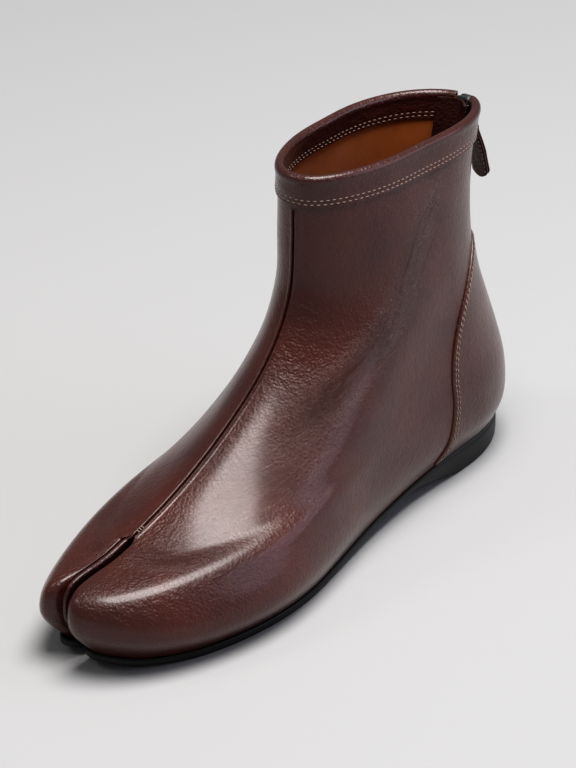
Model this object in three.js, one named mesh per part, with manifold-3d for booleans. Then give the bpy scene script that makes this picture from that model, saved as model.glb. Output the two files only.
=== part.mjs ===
// Left split-toe ankle boot (jika tabi form) with a low heel and a zip at the back.
// Millimetres, +Z up. Toes point to -Y, the outer side of the foot is +X.
// The origin lies on the floor under the middle of the heel.

import * as THREE from 'three';
import Module from 'manifold-3d';
import { mergeVertices } from 'three/addons/utils/BufferGeometryUtils.js';

const wasm = await Module();
wasm.setup();

// Driving dimensions of the last and shaft
const LENGTH = 270;
const BALL_WIDTH = 92;
const HEEL_WIDTH = 64;
const INSTEP_HEIGHT = 84.4;
const HEIGHT = 159.5;
const COLLAR_DEPTH = 109;
const COLLAR_WIDTH = 51.5;
const HEEL_HEIGHT = 13;

// Leather, clearances and overlays
const WALL = 1.6;
const CLEARANCE = 0.3;
const COUNTER_THICK = 0.9;
const BAND_THICK = 0.9;
const BAND_OUTSIDE = 11;
const BAND_INSIDE = 10;
const INSOLE_THICK = 2;
const SOLE_REACH = 0.6;
const INSOLE_ROOM = 0.9;
const SOLE_CLEFT_ROOM = 0.2;

// Cleft between the big toe and the other toes, and the seam above it
const CLEFT_GAP = 2.8;
const CROTCH = 0.828 * LENGTH;
const CLEFT_RUN_OUT = 10;
const SEAM_HALF = 2.4;
const SEAM_RISE = 0.4;
const SEAM_GROOVE = 0.45;

// Zip at the back
const SLIT_HALF = 4;
const ZIP_FOOT = 0.385 * HEIGHT;
const ZIP_TOP_DROP = 2.5;
const TAPE_WIDTH = 11;
const TAPE_THICK = 0.6;
const TAPE_ROOM = 0.4;
const CHAIN_WIDTH = 4.4;
const CHAIN_THICK = 1.6;
const GUARD_WIDTH = 24;
const GUARD_THICK = 1;

// Slider, its puller and the leather tab, which stand out from hanging straight by degrees
const SLIDER_WIDTH = 7;
const SLIDER_LENGTH = 10;
const SLIDER_PLATE = 1;
const SLIDER_ROOM = 0.9;
const SLIDER_INNER_WIDTH = 5.2;
const BAIL_WIDTH = 1.8;
const BAIL_THICK = 1.2;
const PULLER_WIDTH = 5.4;
const PULLER_LENGTH = 10;
const PULLER_THICK = 1.4;
const TAB_LENGTH = 26;
const TAB_WIDTH = 8;
const TAB_NECK = 4.4;
const TAB_THICK = 2.6;
const TAB_LOOP_WIDTH = 3;
const TAB_LOOP_THICK = 0.9;
const PULL_SWING = 16;

// Derived places
const HEEL_CENTRE = 0.1407 * LENGTH;
const SHAFT_RISE = HEIGHT - INSTEP_HEIGHT;
const BAND_REACH = CLEARANCE + BAND_THICK;
const TAPE_OUTER = -WALL - TAPE_ROOM;
const TAPE_INNER = TAPE_OUTER - TAPE_THICK;

// Levels of the foot, from the sole edge up to the instep. Each level is a loop in a plane that
// leans from its back point to its front point. back and front are shares of the length, the two
// heights are shares of the instep height, heel of half the heel width, and the outer and inner
// half widths at the waist and ball are shares of the ball width. round_back, round_from and
// power shape the two ends. lip_side and lip_in are the reach of the rounded lips of the cleft,
// as shares of the ball width. The feather lies on the sole, so that its two heights are the sole's.
const FOOT_COLUMNS = ['name', 'back', 'back_up', 'front', 'front_up', 'heel', 'outer_waist', 'outer_ball',
  'inner_waist', 'inner_ball', 'round_back', 'round_from', 'power', 'lip_side', 'lip_in'];
const FOOT_ROWS = [
  ['feather', 0.012, null, 0.968, null, 0.850, 0.330, 0.425, 0.263, 0.430, 0.16, 0.63, 2.40, 0.110, 0.085],
  ['bulge', 0.004, 0.287, 1.000, 0.250, 1.000, 0.370, 0.498, 0.316, 0.478, 0.17, 0.64, 2.45, 0.110, 0.090],
  ['toe_top', 0.007, 0.466, 0.981, 0.405, 1.010, 0.369, 0.462, 0.337, 0.457, 0.18, 0.50, 2.45, 0.070, 0.080],
  ['toe_root', 0.025, 0.656, 0.885, 0.452, 0.940, 0.359, 0.430, 0.337, 0.428, 0.19, 0.39, 2.17, 0.034, 0.050],
  ['ball', 0.050, 0.850, 0.773, 0.560, 0.885, 0.345, 0.420, 0.333, 0.389, 0.21, 0.36, 1.98, 0.026, 0.030],
  ['vamp', 0.074, 1.030, 0.655, 0.754, 0.840, 0.330, 0.382, 0.324, 0.339, 0.24, 0.38, 1.93, 0.026, 0.030],
  ['instep', 0.089, 1.214, 0.550, 1.000, 0.812, 0.314, 0.331, 0.312, 0.311, 0.30, 0.44, 1.98, 0.026, 0.030],
];

// Levels of the shaft. back is a share of the length, depth of the collar depth, the heights of
// the rise from instep to collar, and the half widths of the collar width.
const SHAFT_COLUMNS = ['name', 'back', 'back_up', 'depth', 'front_up', 'heel', 'outer_waist', 'outer_ball',
  'inner_waist', 'inner_ball', 'round_back', 'round_from', 'power'];
const SHAFT_ROWS = [
  ['throat', 0.096, 0.460, 0.985, 0.302, 0.498, 0.520, 0.515, 0.520, 0.528, 0.36, 0.50, 2.13],
  ['shin', 0.093, 0.695, 0.960, 0.628, 0.503, 0.494, 0.480, 0.508, 0.522, 0.42, 0.53, 2.30],
  ['collar', 0.0775, 0.972, 1.000, 1.000, 0.500, 0.440, 0.415, 0.488, 0.466, 0.45, 0.56, 2.40],
];
// How far the middle of the back, with the zip, stands to the outer side at each level: shares of
// the collar width.
const ZIP_ASIDE = [0, 0, 0, 0.006, 0.020, 0.040, 0.065, 0.090, 0.108, 0.118];
const LEVEL_KEYS = ['back', 'back_up', 'front', 'front_up', 'heel', 'outer_waist', 'outer_ball',
  'inner_waist', 'inner_ball', 'round_back', 'round_from', 'power', 'lip_side', 'lip_in'];

// Side profile of the sole: ahead is a share of the length, top and under of the heel height.
const SOLE_ROWS = [
  ['heel_back', -0.010, 1.000, 0.060],
  ['heel_rest', 0.030, 1.000, 0.000],
  ['heel_front', 0.190, 0.975, 0.000],
  ['breast', 0.256, 0.925, 0.330],
  ['arch', 0.330, 0.835, 0.600],
  ['waist', 0.434, 0.630, 0.410],
  ['tread_back', 0.552, 0.390, 0.130],
  ['ball_rest', 0.630, 0.275, 0.000],
  ['ball_front', 0.830, 0.270, 0.000],
  ['toe', 0.915, 0.390, 0.125],
  ['tip', 0.990, 0.720, 0.455],
];

// Centre line of the cleft and of the front seam: shares of the length and of the ball width.
const CLEFT_ROWS = [
  ['shin', 0.000, 0.000],
  ['instep', 0.460, 0.000],
  ['vamp', 0.620, -0.010],
  ['crotch', 0.828, -0.046],
  ['between_toes', 0.920, -0.058],
  ['toe', 1.000, -0.088],
];

// Stations across a level where its half widths are given, as shares of its depth.
const WIDTH_STATIONS = [0, 0.12, 0.42, 0.7, 1];
const TOE_NARROWING = 0.86;
const COLLAR_LEVEL = FOOT_ROWS.length + SHAFT_ROWS.length - 1;
const SOLE_BEND_LEVEL = 3;

const mix = (a, b, t) => a + (b - a) * t;
const smooth = (t) => {
  const s = Math.min(Math.max(t, 0), 1);
  return s * s * (3 - 2 * s);
};

// Cubic through the knots. With level set, it never overshoots, so that flat stretches stay flat.
function curve(knots, values, at, level = false) {
  const last = knots.length - 1;
  const chord = (k) => (values[k + 1] - values[k]) / (knots[k + 1] - knots[k]);
  const slope = (k) => {
    if (k === 0) return level ? 0 : chord(0);
    if (k === last) return chord(last - 1);
    const before = chord(k - 1);
    const after = chord(k);
    if (!level) return (before + after) / 2;
    return before * after <= 0 ? 0 : (2 * before * after) / (before + after);
  };
  let k = 0;
  while (k < last - 1 && at > knots[k + 1]) k += 1;
  const step = knots[k + 1] - knots[k];
  const t = (at - knots[k]) / step;
  return (2 * t ** 3 - 3 * t ** 2 + 1) * values[k] + (t ** 3 - 2 * t ** 2 + t) * step * slope(k)
    + (3 * t ** 2 - 2 * t ** 3) * values[k + 1] + (t ** 3 - t ** 2) * step * slope(k + 1);
}

const soleColumn = (index) => SOLE_ROWS.map((row) => row[index]);
const soleTop = (ahead) => HEEL_HEIGHT * curve(soleColumn(1), soleColumn(2), ahead / LENGTH, true);
const soleUnder = (ahead) => HEEL_HEIGHT * curve(soleColumn(1), soleColumn(3), ahead / LENGTH, true);
const cleftX = (ahead) => BALL_WIDTH
  * curve(CLEFT_ROWS.map((row) => row[1]), CLEFT_ROWS.map((row) => row[2]), ahead / LENGTH);

// Every level in millimetres, foot and shaft in one list.
function makeLevels() {
  const named = (columns, row) => Object.fromEntries(columns.map((key, i) => [key, row[i]]));
  const foot = FOOT_ROWS.map((row) => {
    const r = named(FOOT_COLUMNS, row);
    return { ...r,
      back: r.back * LENGTH,
      front: r.front * LENGTH,
      back_up: r.back_up * INSTEP_HEIGHT,
      front_up: r.front_up * INSTEP_HEIGHT,
      heel: r.heel * HEEL_WIDTH / 2,
      outer_waist: r.outer_waist * BALL_WIDTH,
      outer_ball: r.outer_ball * BALL_WIDTH,
      inner_waist: r.inner_waist * BALL_WIDTH,
      inner_ball: r.inner_ball * BALL_WIDTH,
      lip_side: r.lip_side * BALL_WIDTH,
      lip_in: r.lip_in * BALL_WIDTH };
  });
  foot[0].back_up = soleTop(foot[0].back) + CLEARANCE;
  foot[0].front_up = soleTop(foot[0].front) + CLEARANCE;
  const lastFoot = foot[foot.length - 1];
  const shaft = SHAFT_ROWS.map((row) => {
    const r = named(SHAFT_COLUMNS, row);
    return { ...r,
      back: r.back * LENGTH,
      front: r.back * LENGTH + r.depth * COLLAR_DEPTH,
      back_up: INSTEP_HEIGHT + r.back_up * SHAFT_RISE,
      front_up: INSTEP_HEIGHT + r.front_up * SHAFT_RISE,
      heel: r.heel * COLLAR_WIDTH,
      outer_waist: r.outer_waist * COLLAR_WIDTH,
      outer_ball: r.outer_ball * COLLAR_WIDTH,
      inner_waist: r.inner_waist * COLLAR_WIDTH,
      inner_ball: r.inner_ball * COLLAR_WIDTH,
      lip_side: lastFoot.lip_side,
      lip_in: lastFoot.lip_in };
  });
  return [...foot, ...shaft];
}
const LEVELS = makeLevels();
const LEVEL_KNOTS = LEVELS.map((row, i) => i);

const levelCache = new Map();
function level(v) {
  if (!levelCache.has(v)) {
    const at = {};
    LEVEL_KEYS.forEach((key) => {
      at[key] = curve(LEVEL_KNOTS, LEVELS.map((row) => row[key]), v);
    });
    at.zip_aside = COLLAR_WIDTH * curve(LEVEL_KNOTS, ZIP_ASIDE, v);
    levelCache.set(v, at);
  }
  return levelCache.get(v);
}

// Height of a level at a distance ahead: a leaning plane, which near the sole bends with its top.
function planeHeight(v, ahead) {
  const p = level(v);
  const t = (ahead - p.back) / (p.front - p.back);
  const bend = soleTop(ahead) - mix(soleTop(p.back), soleTop(p.front), t);
  return mix(p.back_up, p.front_up, t) + (1 - smooth(v / SOLE_BEND_LEVEL)) * bend;
}

// One half of a level, from the middle of the back to the middle of the front, as points
// [x, ahead, z]: a round back, a straight run of the given widths and a superellipse front.
function halfLoop(v, side, grow = 0) {
  const p = level(v);
  const prefix = side > 0 ? 'outer_' : 'inner_';
  const depth = p.front - p.back + 2 * grow;
  const back = p.back - grow;
  const ball = p[`${prefix}ball`];
  const widths = [p.heel, p.heel, p[`${prefix}waist`], ball, ball * TOE_NARROWING];
  const place = (t, reach) => {
    const ahead = back + t * depth;
    const centre = cleftX(ahead) + (t < p.round_back ? p.zip_aside : 0);
    const width = curve(WIDTH_STATIONS, widths, t) + grow;
    return [centre + (side * width - centre) * reach, ahead, planeHeight(v, ahead)];
  };
  const points = [];
  const STEPS = 30;
  for (let i = 0; i <= STEPS; i += 1) {
    const q = (i / STEPS) * Math.PI / 2;
    points.push(place(p.round_back * (1 - Math.cos(q)), Math.sin(q)));
  }
  for (let i = 1; i < STEPS; i += 1) {
    points.push(place(mix(p.round_back, p.round_from, i / STEPS), 1));
  }
  for (let i = 0; i <= STEPS; i += 1) {
    const q = (i / STEPS) * Math.PI / 2;
    const far = i === STEPS ? 0 : Math.cos(q);
    points.push(place(mix(p.round_from, 1, Math.sin(q) ** (2 / p.power)), far ** (2 / p.power)));
  }
  return points;
}

const distance = (a, b) => Math.hypot(a[0] - b[0], a[1] - b[1], a[2] - b[2]);

function measured(points) {
  const arc = [0];
  for (let i = 1; i < points.length; i += 1) arc.push(arc[i - 1] + distance(points[i - 1], points[i]));
  return { points, arc, total: arc[arc.length - 1] };
}

function alongLine(line, length) {
  const { points, arc } = line;
  let k = 0;
  while (k < arc.length - 2 && arc[k + 1] < length) k += 1;
  const t = (length - arc[k]) / Math.max(arc[k + 1] - arc[k], 1e-9);
  return points[k].map((value, i) => mix(value, points[k + 1][i], t));
}

const loopCache = new Map();
function loop(v, side) {
  const key = `${v}_${side}`;
  if (!loopCache.has(key)) loopCache.set(key, measured(halfLoop(v, side)));
  return loopCache.get(key);
}

// Plain skin of the last, without cleft or seam. c runs once round a level: 0 is the middle of
// the back, 1 the middle of the front on the outer side's way, 2 the back again.
function lastPoint(v, c) {
  const turn = ((c % 2) + 2) % 2;
  const side = turn <= 1 ? 1 : -1;
  const half = loop(v, side);
  return alongLine(half, (side > 0 ? turn : 2 - turn) * half.total);
}

function lastNormal(v, c) {
  const REACH_C = 0.012;
  const REACH_V = 0.06;
  const along = lastPoint(v, c + REACH_C).map((value, i) => value - lastPoint(v, c - REACH_C)[i]);
  const high = Math.min(v + REACH_V, COLLAR_LEVEL);
  const low = Math.max(v - REACH_V, 0);
  const up = lastPoint(high, c).map((value, i) => value - lastPoint(low, c)[i]);
  const n = new THREE.Vector3(...along).cross(new THREE.Vector3(...up)).normalize();
  return [n.x, n.y, n.z];
}

// The last's skin moved out by an offset, or in by a negative one. rise lifts it along the skin.
function skin(v, c, offset, rise = 0) {
  const n = lastNormal(v, c);
  const p = lastPoint(v, c);
  const moved = p.map((value, i) => value + n[i] * offset);
  if (rise === 0) return moved;
  const STEP_V = 0.1;
  const low = lastPoint(v - STEP_V, c);
  const reach = distance(p, low);
  return moved.map((value, i) => value + (p[i] - low[i]) / reach * rise);
}

// Part of a turn that a distance along the skin takes, from the middle of the back.
const turnOf = (v, side, length) => (side > 0 ? 1 : -1) * length / loop(v, side).total;

// Level between two others at which a rising measure reaches a value.
function levelWhere(measure, value, from, to) {
  let low = from;
  let high = to;
  for (let i = 0; i < 40; i += 1) {
    const middle = (low + high) / 2;
    if (measure(middle) < value) low = middle;
    else high = middle;
  }
  return (low + high) / 2;
}
const levelAtBack = (height) => levelWhere((v) => lastPoint(v, 0)[2], height, 0, COLLAR_LEVEL);
const CROTCH_LEVEL = levelWhere((v) => -level(v).front, -CROTCH, 2, 5);
const ZIP_FOOT_LEVEL = levelAtBack(ZIP_FOOT);
const ZIP_TOP = LEVELS[COLLAR_LEVEL].back_up - ZIP_TOP_DROP;
const ZIP_TOP_LEVEL = levelAtBack(ZIP_TOP);

const toPart = ([x, ahead, z]) => [x, HEEL_CENTRE - ahead, z];

// Columns of one half of the upper at a level, from the slit at the back to the front middle.
const MAIN_COLUMNS = 19;
const SPACING = 0.6;
// Even steps made closer at both ends, where the loops bend most.
const closer = (t) => t - SPACING * Math.sin(2 * Math.PI * t) / (2 * Math.PI);
const FRONT_STEPS = [0, 0.1, 0.22, 0.34, 0.46, 0.75, 0.9, 1];
const LIP_END = 0.46;
const WALL_END = 0.75;
const LIP_LEAST = 0.6;
const SEAM_FADE_LEVEL = COLLAR_LEVEL - 1.5;
const SEAM_FADE = 0.5;
function seamShape(w) {
  const aside = SEAM_HALF * (1 - w);
  const knots = [0, 0.34, LIP_END, WALL_END, 0.9, 1];
  const heights = [0, SEAM_RISE, SEAM_RISE, SEAM_RISE * 0.9, -SEAM_GROOVE, -SEAM_GROOVE];
  return { aside, height: curve(knots, heights, w, true) };
}
function cleftShape(w, gap, lipSide, lipIn, depth) {
  if (w <= LIP_END) {
    const q = (w / LIP_END) * Math.PI / 2;
    return { aside: gap + lipSide * (1 - Math.sin(q)), inward: lipIn * (1 - Math.cos(q)) };
  }
  const floor = Math.max(depth - gap, lipIn);
  if (w <= WALL_END) return { aside: gap, inward: mix(lipIn, floor, (w - LIP_END) / (WALL_END - LIP_END)) };
  const q = ((w - WALL_END) / (1 - WALL_END)) * Math.PI / 2;
  return { aside: gap * Math.cos(q), inward: mix(floor, depth, Math.sin(q)) };
}

const halfCache = new Map();
function offsetHalf(v, side, offset) {
  const key = `${v}_${side}_${offset}`;
  if (!halfCache.has(key)) {
    const points = [];
    const STEPS = 72;
    for (let i = 0; i <= STEPS; i += 1) {
      const c = side > 0 ? i / STEPS : 2 - i / STEPS;
      points.push(skin(v, c, offset));
    }
    halfCache.set(key, measured(points));
  }
  return halfCache.get(key);
}

// A half level cut for the cleft: main columns up to the lip, then the lip, wall and floor.
function notchedHalf(half, side, cut, start, count) {
  const aside = (q) => Math.abs(q[0] - cleftX(q[1]));
  const lengthAt = (wanted) => {
    let k = half.points.length - 1;
    while (k > 1 && aside(half.points[k - 1]) < wanted) k -= 1;
    const near = aside(half.points[k]);
    const far = aside(half.points[k - 1]);
    const t = (far - wanted) / Math.max(far - near, 1e-9);
    return mix(half.arc[k - 1], half.arc[k], Math.min(Math.max(t, 0), 1));
  };
  const stop = lengthAt(cut.gap + cut.lipSide);
  const main = [];
  for (let i = 0; i < count; i += 1) main.push(alongLine(half, mix(start, stop, closer(i / count))));
  const front = FRONT_STEPS.map((w) => {
    const shape = cleftShape(w, cut.gap, cut.lipSide, cut.lipIn, cut.depth);
    const x = mix(seamShape(w).aside, shape.aside, cut.open);
    const base = w === 1 ? half.points[half.points.length - 1] : alongLine(half, lengthAt(x));
    const ahead = base[1] - shape.inward * cut.open;
    return { w, base, ahead, x: cleftX(ahead) + side * x };
  });
  return { main, front };
}

function upperHalf(v, side, offset, slit) {
  const p = level(v);
  const half = offsetHalf(v, side, offset);
  const depth = Math.max(half.points[half.points.length - 1][1] - (CROTCH + offset), 0);
  const open = smooth(depth / CLEFT_RUN_OUT);
  const cut = {
    depth,
    open,
    gap: (CLEFT_GAP / 2 - offset) * open,
    lipSide: mix(SEAM_HALF, p.lip_side + offset, open),
    lipIn: Math.min(Math.max(p.lip_in + offset, LIP_LEAST), depth / 2),
  };
  const { main, front } = notchedHalf(half, side, cut, slit, MAIN_COLUMNS);
  const underBand = smooth((v - SEAM_FADE_LEVEL) / SEAM_FADE);
  const seam = offset === 0 ? (1 - open) * (1 - underBand) : 0;
  const n = lastNormal(v, 1);
  const ends = front.map(({ w, base, ahead, x }) => {
    const lift = seamShape(w).height * seam;
    const z = base[2] + planeHeight(v, ahead) - planeHeight(v, base[1]);
    return [x, ahead + n[1] * lift, z + n[2] * lift];
  });
  return [...main, ...ends];
}

// Faces of a sheet between two grids of points. Its first and last columns get side faces from
// the given rows on. Below them they are shared with another column.
function sheetFaces(front, back, firstFrom = 0, lastFrom = 0) {
  const top = front.length - 1;
  const last = front[0].length - 1;
  const positions = [];
  const quad = (a, b, c, d) => positions.push(...a, ...b, ...c, ...a, ...c, ...d);
  for (let j = 0; j < top; j += 1) {
    for (let i = 0; i < last; i += 1) {
      quad(front[j][i], front[j][i + 1], front[j + 1][i + 1], front[j + 1][i]);
      quad(back[j][i], back[j + 1][i], back[j + 1][i + 1], back[j][i + 1]);
    }
    if (j >= firstFrom) quad(front[j][0], front[j + 1][0], back[j + 1][0], back[j][0]);
    if (j >= lastFrom) quad(front[j][last], back[j][last], back[j + 1][last], front[j + 1][last]);
  }
  for (let i = 0; i < last; i += 1) {
    quad(front[0][i], back[0][i], back[0][i + 1], front[0][i + 1]);
    quad(front[top][i], front[top][i + 1], back[top][i + 1], back[top][i]);
  }
  return positions;
}

// Geometry from loose triangles: shared corners are joined, fallen faces go, and it faces out.
function closed(positions) {
  const loose = new THREE.BufferGeometry();
  loose.setAttribute('position', new THREE.Float32BufferAttribute(positions, 3));
  const joined = mergeVertices(loose, 1e-3);
  const place = joined.getAttribute('position');
  const corner = (k) => new THREE.Vector3().fromBufferAttribute(place, k);
  const old = joined.getIndex().array;
  const faces = [];
  let volume = 0;
  for (let i = 0; i < old.length; i += 3) {
    const [a, b, c] = [old[i], old[i + 1], old[i + 2]];
    if (a !== b && b !== c && c !== a) {
      faces.push([a, b, c]);
      volume += corner(a).dot(corner(b).cross(corner(c)));
    }
  }
  joined.setIndex(faces.flatMap(([a, b, c]) => (volume < 0 ? [a, c, b] : [a, b, c])));
  return joined;
}

// Upper: one hollow wall from the sole edge to the collar, with the cleft, seam and zip slit
const SLIT_RUN = 0.16;
function upperLevels() {
  const foot = [0, 0.3, 0.65, 1, 1.35, 1.7, 2, 2.3, 2.6, 2.85, 3.75, 4.1, 4.5, 5, 5.5, 5.75, 5.9];
  const even = [...foot, 6.1, 6.6, 7.2, 7.8, 8.4];
  const crotch = [-0.45, -0.28, -0.15, -0.06, 0.02].map((step) => CROTCH_LEVEL + step);
  const slit = [0, 0.5, 1].map((step) => ZIP_FOOT_LEVEL + step * SLIT_RUN);
  const near = (v) => slit.some((other) => Math.abs(other - v) < 0.02);
  return [...[...even, ...crotch].filter((v) => !near(v)), ...slit, COLLAR_LEVEL].sort((a, b) => a - b);
}

function upperGeometry() {
  const levels = upperLevels();
  const slitAt = (v) => {
    const run = Math.min(Math.max((v - ZIP_FOOT_LEVEL) / SLIT_RUN, 0), 1);
    return SLIT_HALF * Math.sin(run * Math.PI / 2);
  };
  const row = (v, offset) => {
    const outer = upperHalf(v, 1, offset, slitAt(v));
    const inner = upperHalf(v, -1, offset, slitAt(v));
    return [...outer, ...inner.slice(0, -1).reverse()].map(toPart);
  };
  const outside = levels.map((v) => row(v, 0));
  const inside = levels.map((v) => row(v, -WALL));
  const open = levels.indexOf(ZIP_FOOT_LEVEL);
  return closed(sheetFaces(outside, inside, open, open));
}

// Plan outline of the sole edge or of what lies inside it, with the notch of the cleft.
const OUTLINE_COLUMNS = 34;
function planOutline(grow, gap) {
  const p = level(0);
  const depth = p.front - CROTCH;
  const cut = { gap, depth, open: 1, lipSide: p.lip_side + grow, lipIn: p.lip_in + grow };
  const half = (side) => {
    const line = measured(halfLoop(0, side, grow).map(([x, ahead]) => [x, ahead, 0]));
    const { main, front } = notchedHalf(line, side, cut, 0, OUTLINE_COLUMNS);
    return [...main, ...front.map(({ x, ahead }) => [x, ahead, 0])];
  };
  const round = [...half(1), ...half(-1).slice(1, -1).reverse()];
  return round.map(([x, ahead]) => new THREE.Vector2(x, HEEL_CENTRE - ahead));
}

function solidOf(geometry) {
  const plain = geometry.clone();
  plain.deleteAttribute('normal');
  plain.deleteAttribute('uv');
  const merged = mergeVertices(plain, 1e-4);
  return new wasm.Manifold(new wasm.Mesh({
    numProp: 3,
    vertProperties: new Float32Array(merged.getAttribute('position').array),
    triVerts: new Uint32Array(merged.getIndex().array),
  }));
}

function geometryOf(solid) {
  const mesh = solid.getMesh();
  const geometry = new THREE.BufferGeometry();
  geometry.setAttribute('position', new THREE.BufferAttribute(Float32Array.from(mesh.vertProperties), 3));
  geometry.setIndex(new THREE.BufferAttribute(Uint32Array.from(mesh.triVerts), 1));
  return geometry;
}

function extruded(points, depth) {
  return new THREE.ExtrudeGeometry(new THREE.Shape(points), { depth, bevelEnabled: false });
}

// A layer that follows the side profile of the sole, cut to a plan outline.
function layerGeometry(lower, upper, outline) {
  const STATIONS = 34;
  const from = -0.04 * LENGTH;
  const to = 1.06 * LENGTH;
  const aheadOf = (i) => mix(from, to, i / STATIONS);
  const side = [];
  const at = (i, height) => new THREE.Vector2(aheadOf(i) - HEEL_CENTRE, height(aheadOf(i)));
  for (let i = 0; i <= STATIONS; i += 1) side.push(at(i, lower));
  for (let i = STATIONS; i >= 0; i -= 1) side.push(at(i, upper));
  const slab = extruded(side, 2 * BALL_WIDTH);
  slab.applyMatrix4(new THREE.Matrix4().set(0, 0, -1, BALL_WIDTH, -1, 0, 0, 0, 0, 1, 0, 0, 0, 0, 0, 1));
  const column = extruded(outline, 4 * HEEL_HEIGHT);
  column.translate(0, 0, -HEEL_HEIGHT);
  return geometryOf(solidOf(slab).intersect(solidOf(column)));
}

function outsoleGeometry() {
  return layerGeometry(soleUnder, soleTop, planOutline(SOLE_REACH, CLEFT_GAP / 2 - SOLE_CLEFT_ROOM));
}

function insoleGeometry() {
  const inset = WALL + INSOLE_ROOM;
  const lower = (ahead) => soleTop(ahead) + CLEARANCE;
  const upper = (ahead) => lower(ahead) + INSOLE_THICK;
  return layerGeometry(lower, upper, planOutline(-inset, CLEFT_GAP / 2 + inset));
}

// A grid of places on the last's skin, [level, turn] or [level, turn, rise], moved to an offset.
const skinGrid = (places, offset) => places.map((row) => row
  .map(([v, c, rise = 0]) => toPart(skin(v, c, offset, rise))));
function skinSheet(places, outer, inner) {
  return closed(sheetFaces(skinGrid(places, outer), skinGrid(places, inner)));
}

// Heel counter: wraps the heel, with a notch for the zip. Its free edges climb from the sole.
const COUNTER_TOP = 0.645 * HEIGHT;
const COUNTER_FOOT = 0.313 * LENGTH;
const COUNTER_BASE_LEVEL = 0.15;
const COUNTER_SLANT = 0.16;
const COUNTER_SWEEP = 0.62;
const COUNTER_COLUMNS = 18;
const COUNTER_ROWS = [0, 0.14, 0.28, 0.43, 0.57, 0.71, 0.86, 1];
function counterGeometry() {
  const base = COUNTER_BASE_LEVEL;
  const top = levelAtBack(COUNTER_TOP);
  const foot = COUNTER_ROWS.slice(0, -1).map((t) => mix(base, ZIP_FOOT_LEVEL, t));
  const notchRow = foot.length;
  const above = COUNTER_ROWS.map((t) => mix(ZIP_FOOT_LEVEL + SLIT_RUN, top, t));
  const half = (side) => [...foot, ZIP_FOOT_LEVEL, ...above].map((v, j) => {
    const t = (v - base) / (top - base);
    const notch = j > notchRow ? SLIT_HALF : 0;
    const reach = COUNTER_FOOT * (1 - COUNTER_SLANT * t - COUNTER_SWEEP * t ** 3);
    const row = [];
    for (let i = 0; i <= COUNTER_COLUMNS; i += 1) {
      row.push([v, turnOf(v, side, mix(notch, reach, i / COUNTER_COLUMNS))]);
    }
    return side > 0 ? row : row.reverse();
  });
  const faces = (side, firstFrom, lastFrom) => sheetFaces(
    skinGrid(half(side), CLEARANCE + COUNTER_THICK),
    skinGrid(half(side), CLEARANCE),
    firstFrom,
    lastFrom,
  );
  return closed([...faces(-1, 0, notchRow), ...faces(1, notchRow, 0)]);
}

// Collar band: a strip folded over the top edge, open at the zip. Its rows run up the outside,
// over the roll and down the inside.
const BAND_END = SLIT_HALF + 1;
const BAND_COLUMNS = 42;
const ROLL_STEPS = 6;
function downFromCollar(c, drop) {
  const perLevel = distance(lastPoint(COLLAR_LEVEL, c), lastPoint(COLLAR_LEVEL - 0.5, c)) / 0.5;
  return COLLAR_LEVEL - drop / perLevel;
}
function bandGeometry() {
  const middle = -WALL / 2;
  const from = turnOf(COLLAR_LEVEL, 1, BAND_END);
  const to = 2 + turnOf(COLLAR_LEVEL, -1, BAND_END);
  const turns = [];
  for (let i = 0; i <= BAND_COLUMNS; i += 1) {
    const t = 2 * i / BAND_COLUMNS;
    turns.push(t < 1 ? mix(from, 1, closer(t)) : mix(1, to, closer(t - 1)));
  }
  const face = (reach) => {
    const flap = (drop, offset) => turns.map((c) => toPart(skin(downFromCollar(c, drop), c, offset)));
    const outside = [1, 0.5].map((t) => flap(t * BAND_OUTSIDE, middle + reach));
    const inside = [0.5, 1].map((t) => flap(t * BAND_INSIDE, middle - reach));
    const roll = [];
    for (let k = 0; k <= ROLL_STEPS; k += 1) {
      const q = Math.PI * k / ROLL_STEPS;
      const [out, rise] = [middle + reach * Math.cos(q), reach * Math.sin(q)];
      roll.push(turns.map((c) => toPart(skin(COLLAR_LEVEL, c, out, rise))));
    }
    return [...outside, ...roll, ...inside];
  };
  return closed(sheetFaces(face(WALL / 2 + BAND_REACH), face(WALL / 2 + CLEARANCE)));
}

// Strips along the zip: each row gives the distances of its two edges from the middle.
function stripPlaces(fromLevel, toLevel, rows, columns, edges) {
  const places = [];
  for (let j = 0; j <= rows; j += 1) {
    const v = mix(fromLevel, toLevel, j / rows);
    const [near, far] = edges(v);
    const row = [];
    for (let i = 0; i <= columns; i += 1) {
      const length = mix(near, far, i / columns);
      row.push([v, turnOf(v, Math.sign(length) || 1, Math.abs(length))]);
    }
    places.push(row);
  }
  return places;
}

// Zip tapes: wide behind the leather, narrow where the folded band lies inside the shaft.
const TAPE_APART = 0.3;
const TAPE_BELOW = 0.1;
function tapeGeometry(side) {
  const STEP_LEVEL = 0.03;
  const bandFoot = downFromCollar(0, BAND_INSIDE + 1.5);
  const narrow = SLIT_HALF - TAPE_APART / 2;
  const edges = (v) => [side * TAPE_APART / 2, side * (v < bandFoot ? TAPE_WIDTH : narrow)];
  const low = stripPlaces(ZIP_FOOT_LEVEL - TAPE_BELOW, bandFoot - STEP_LEVEL, 8, 3, edges);
  const high = stripPlaces(bandFoot, ZIP_TOP_LEVEL, 4, 3, edges);
  return skinSheet([...low, ...high], TAPE_OUTER, TAPE_INNER);
}

const CHAIN_FOOT_LEVEL = ZIP_FOOT_LEVEL + SLIT_RUN * 1.6;
const STOP_TALL = 0.1;
const STOP_PROUD = 0.3;
function chainGeometry() {
  const edges = () => [-CHAIN_WIDTH / 2, CHAIN_WIDTH / 2];
  const places = stripPlaces(CHAIN_FOOT_LEVEL, ZIP_TOP_LEVEL, 12, 2, edges);
  return skinSheet(places, CHAIN_THICK - WALL, -WALL);
}

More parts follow.
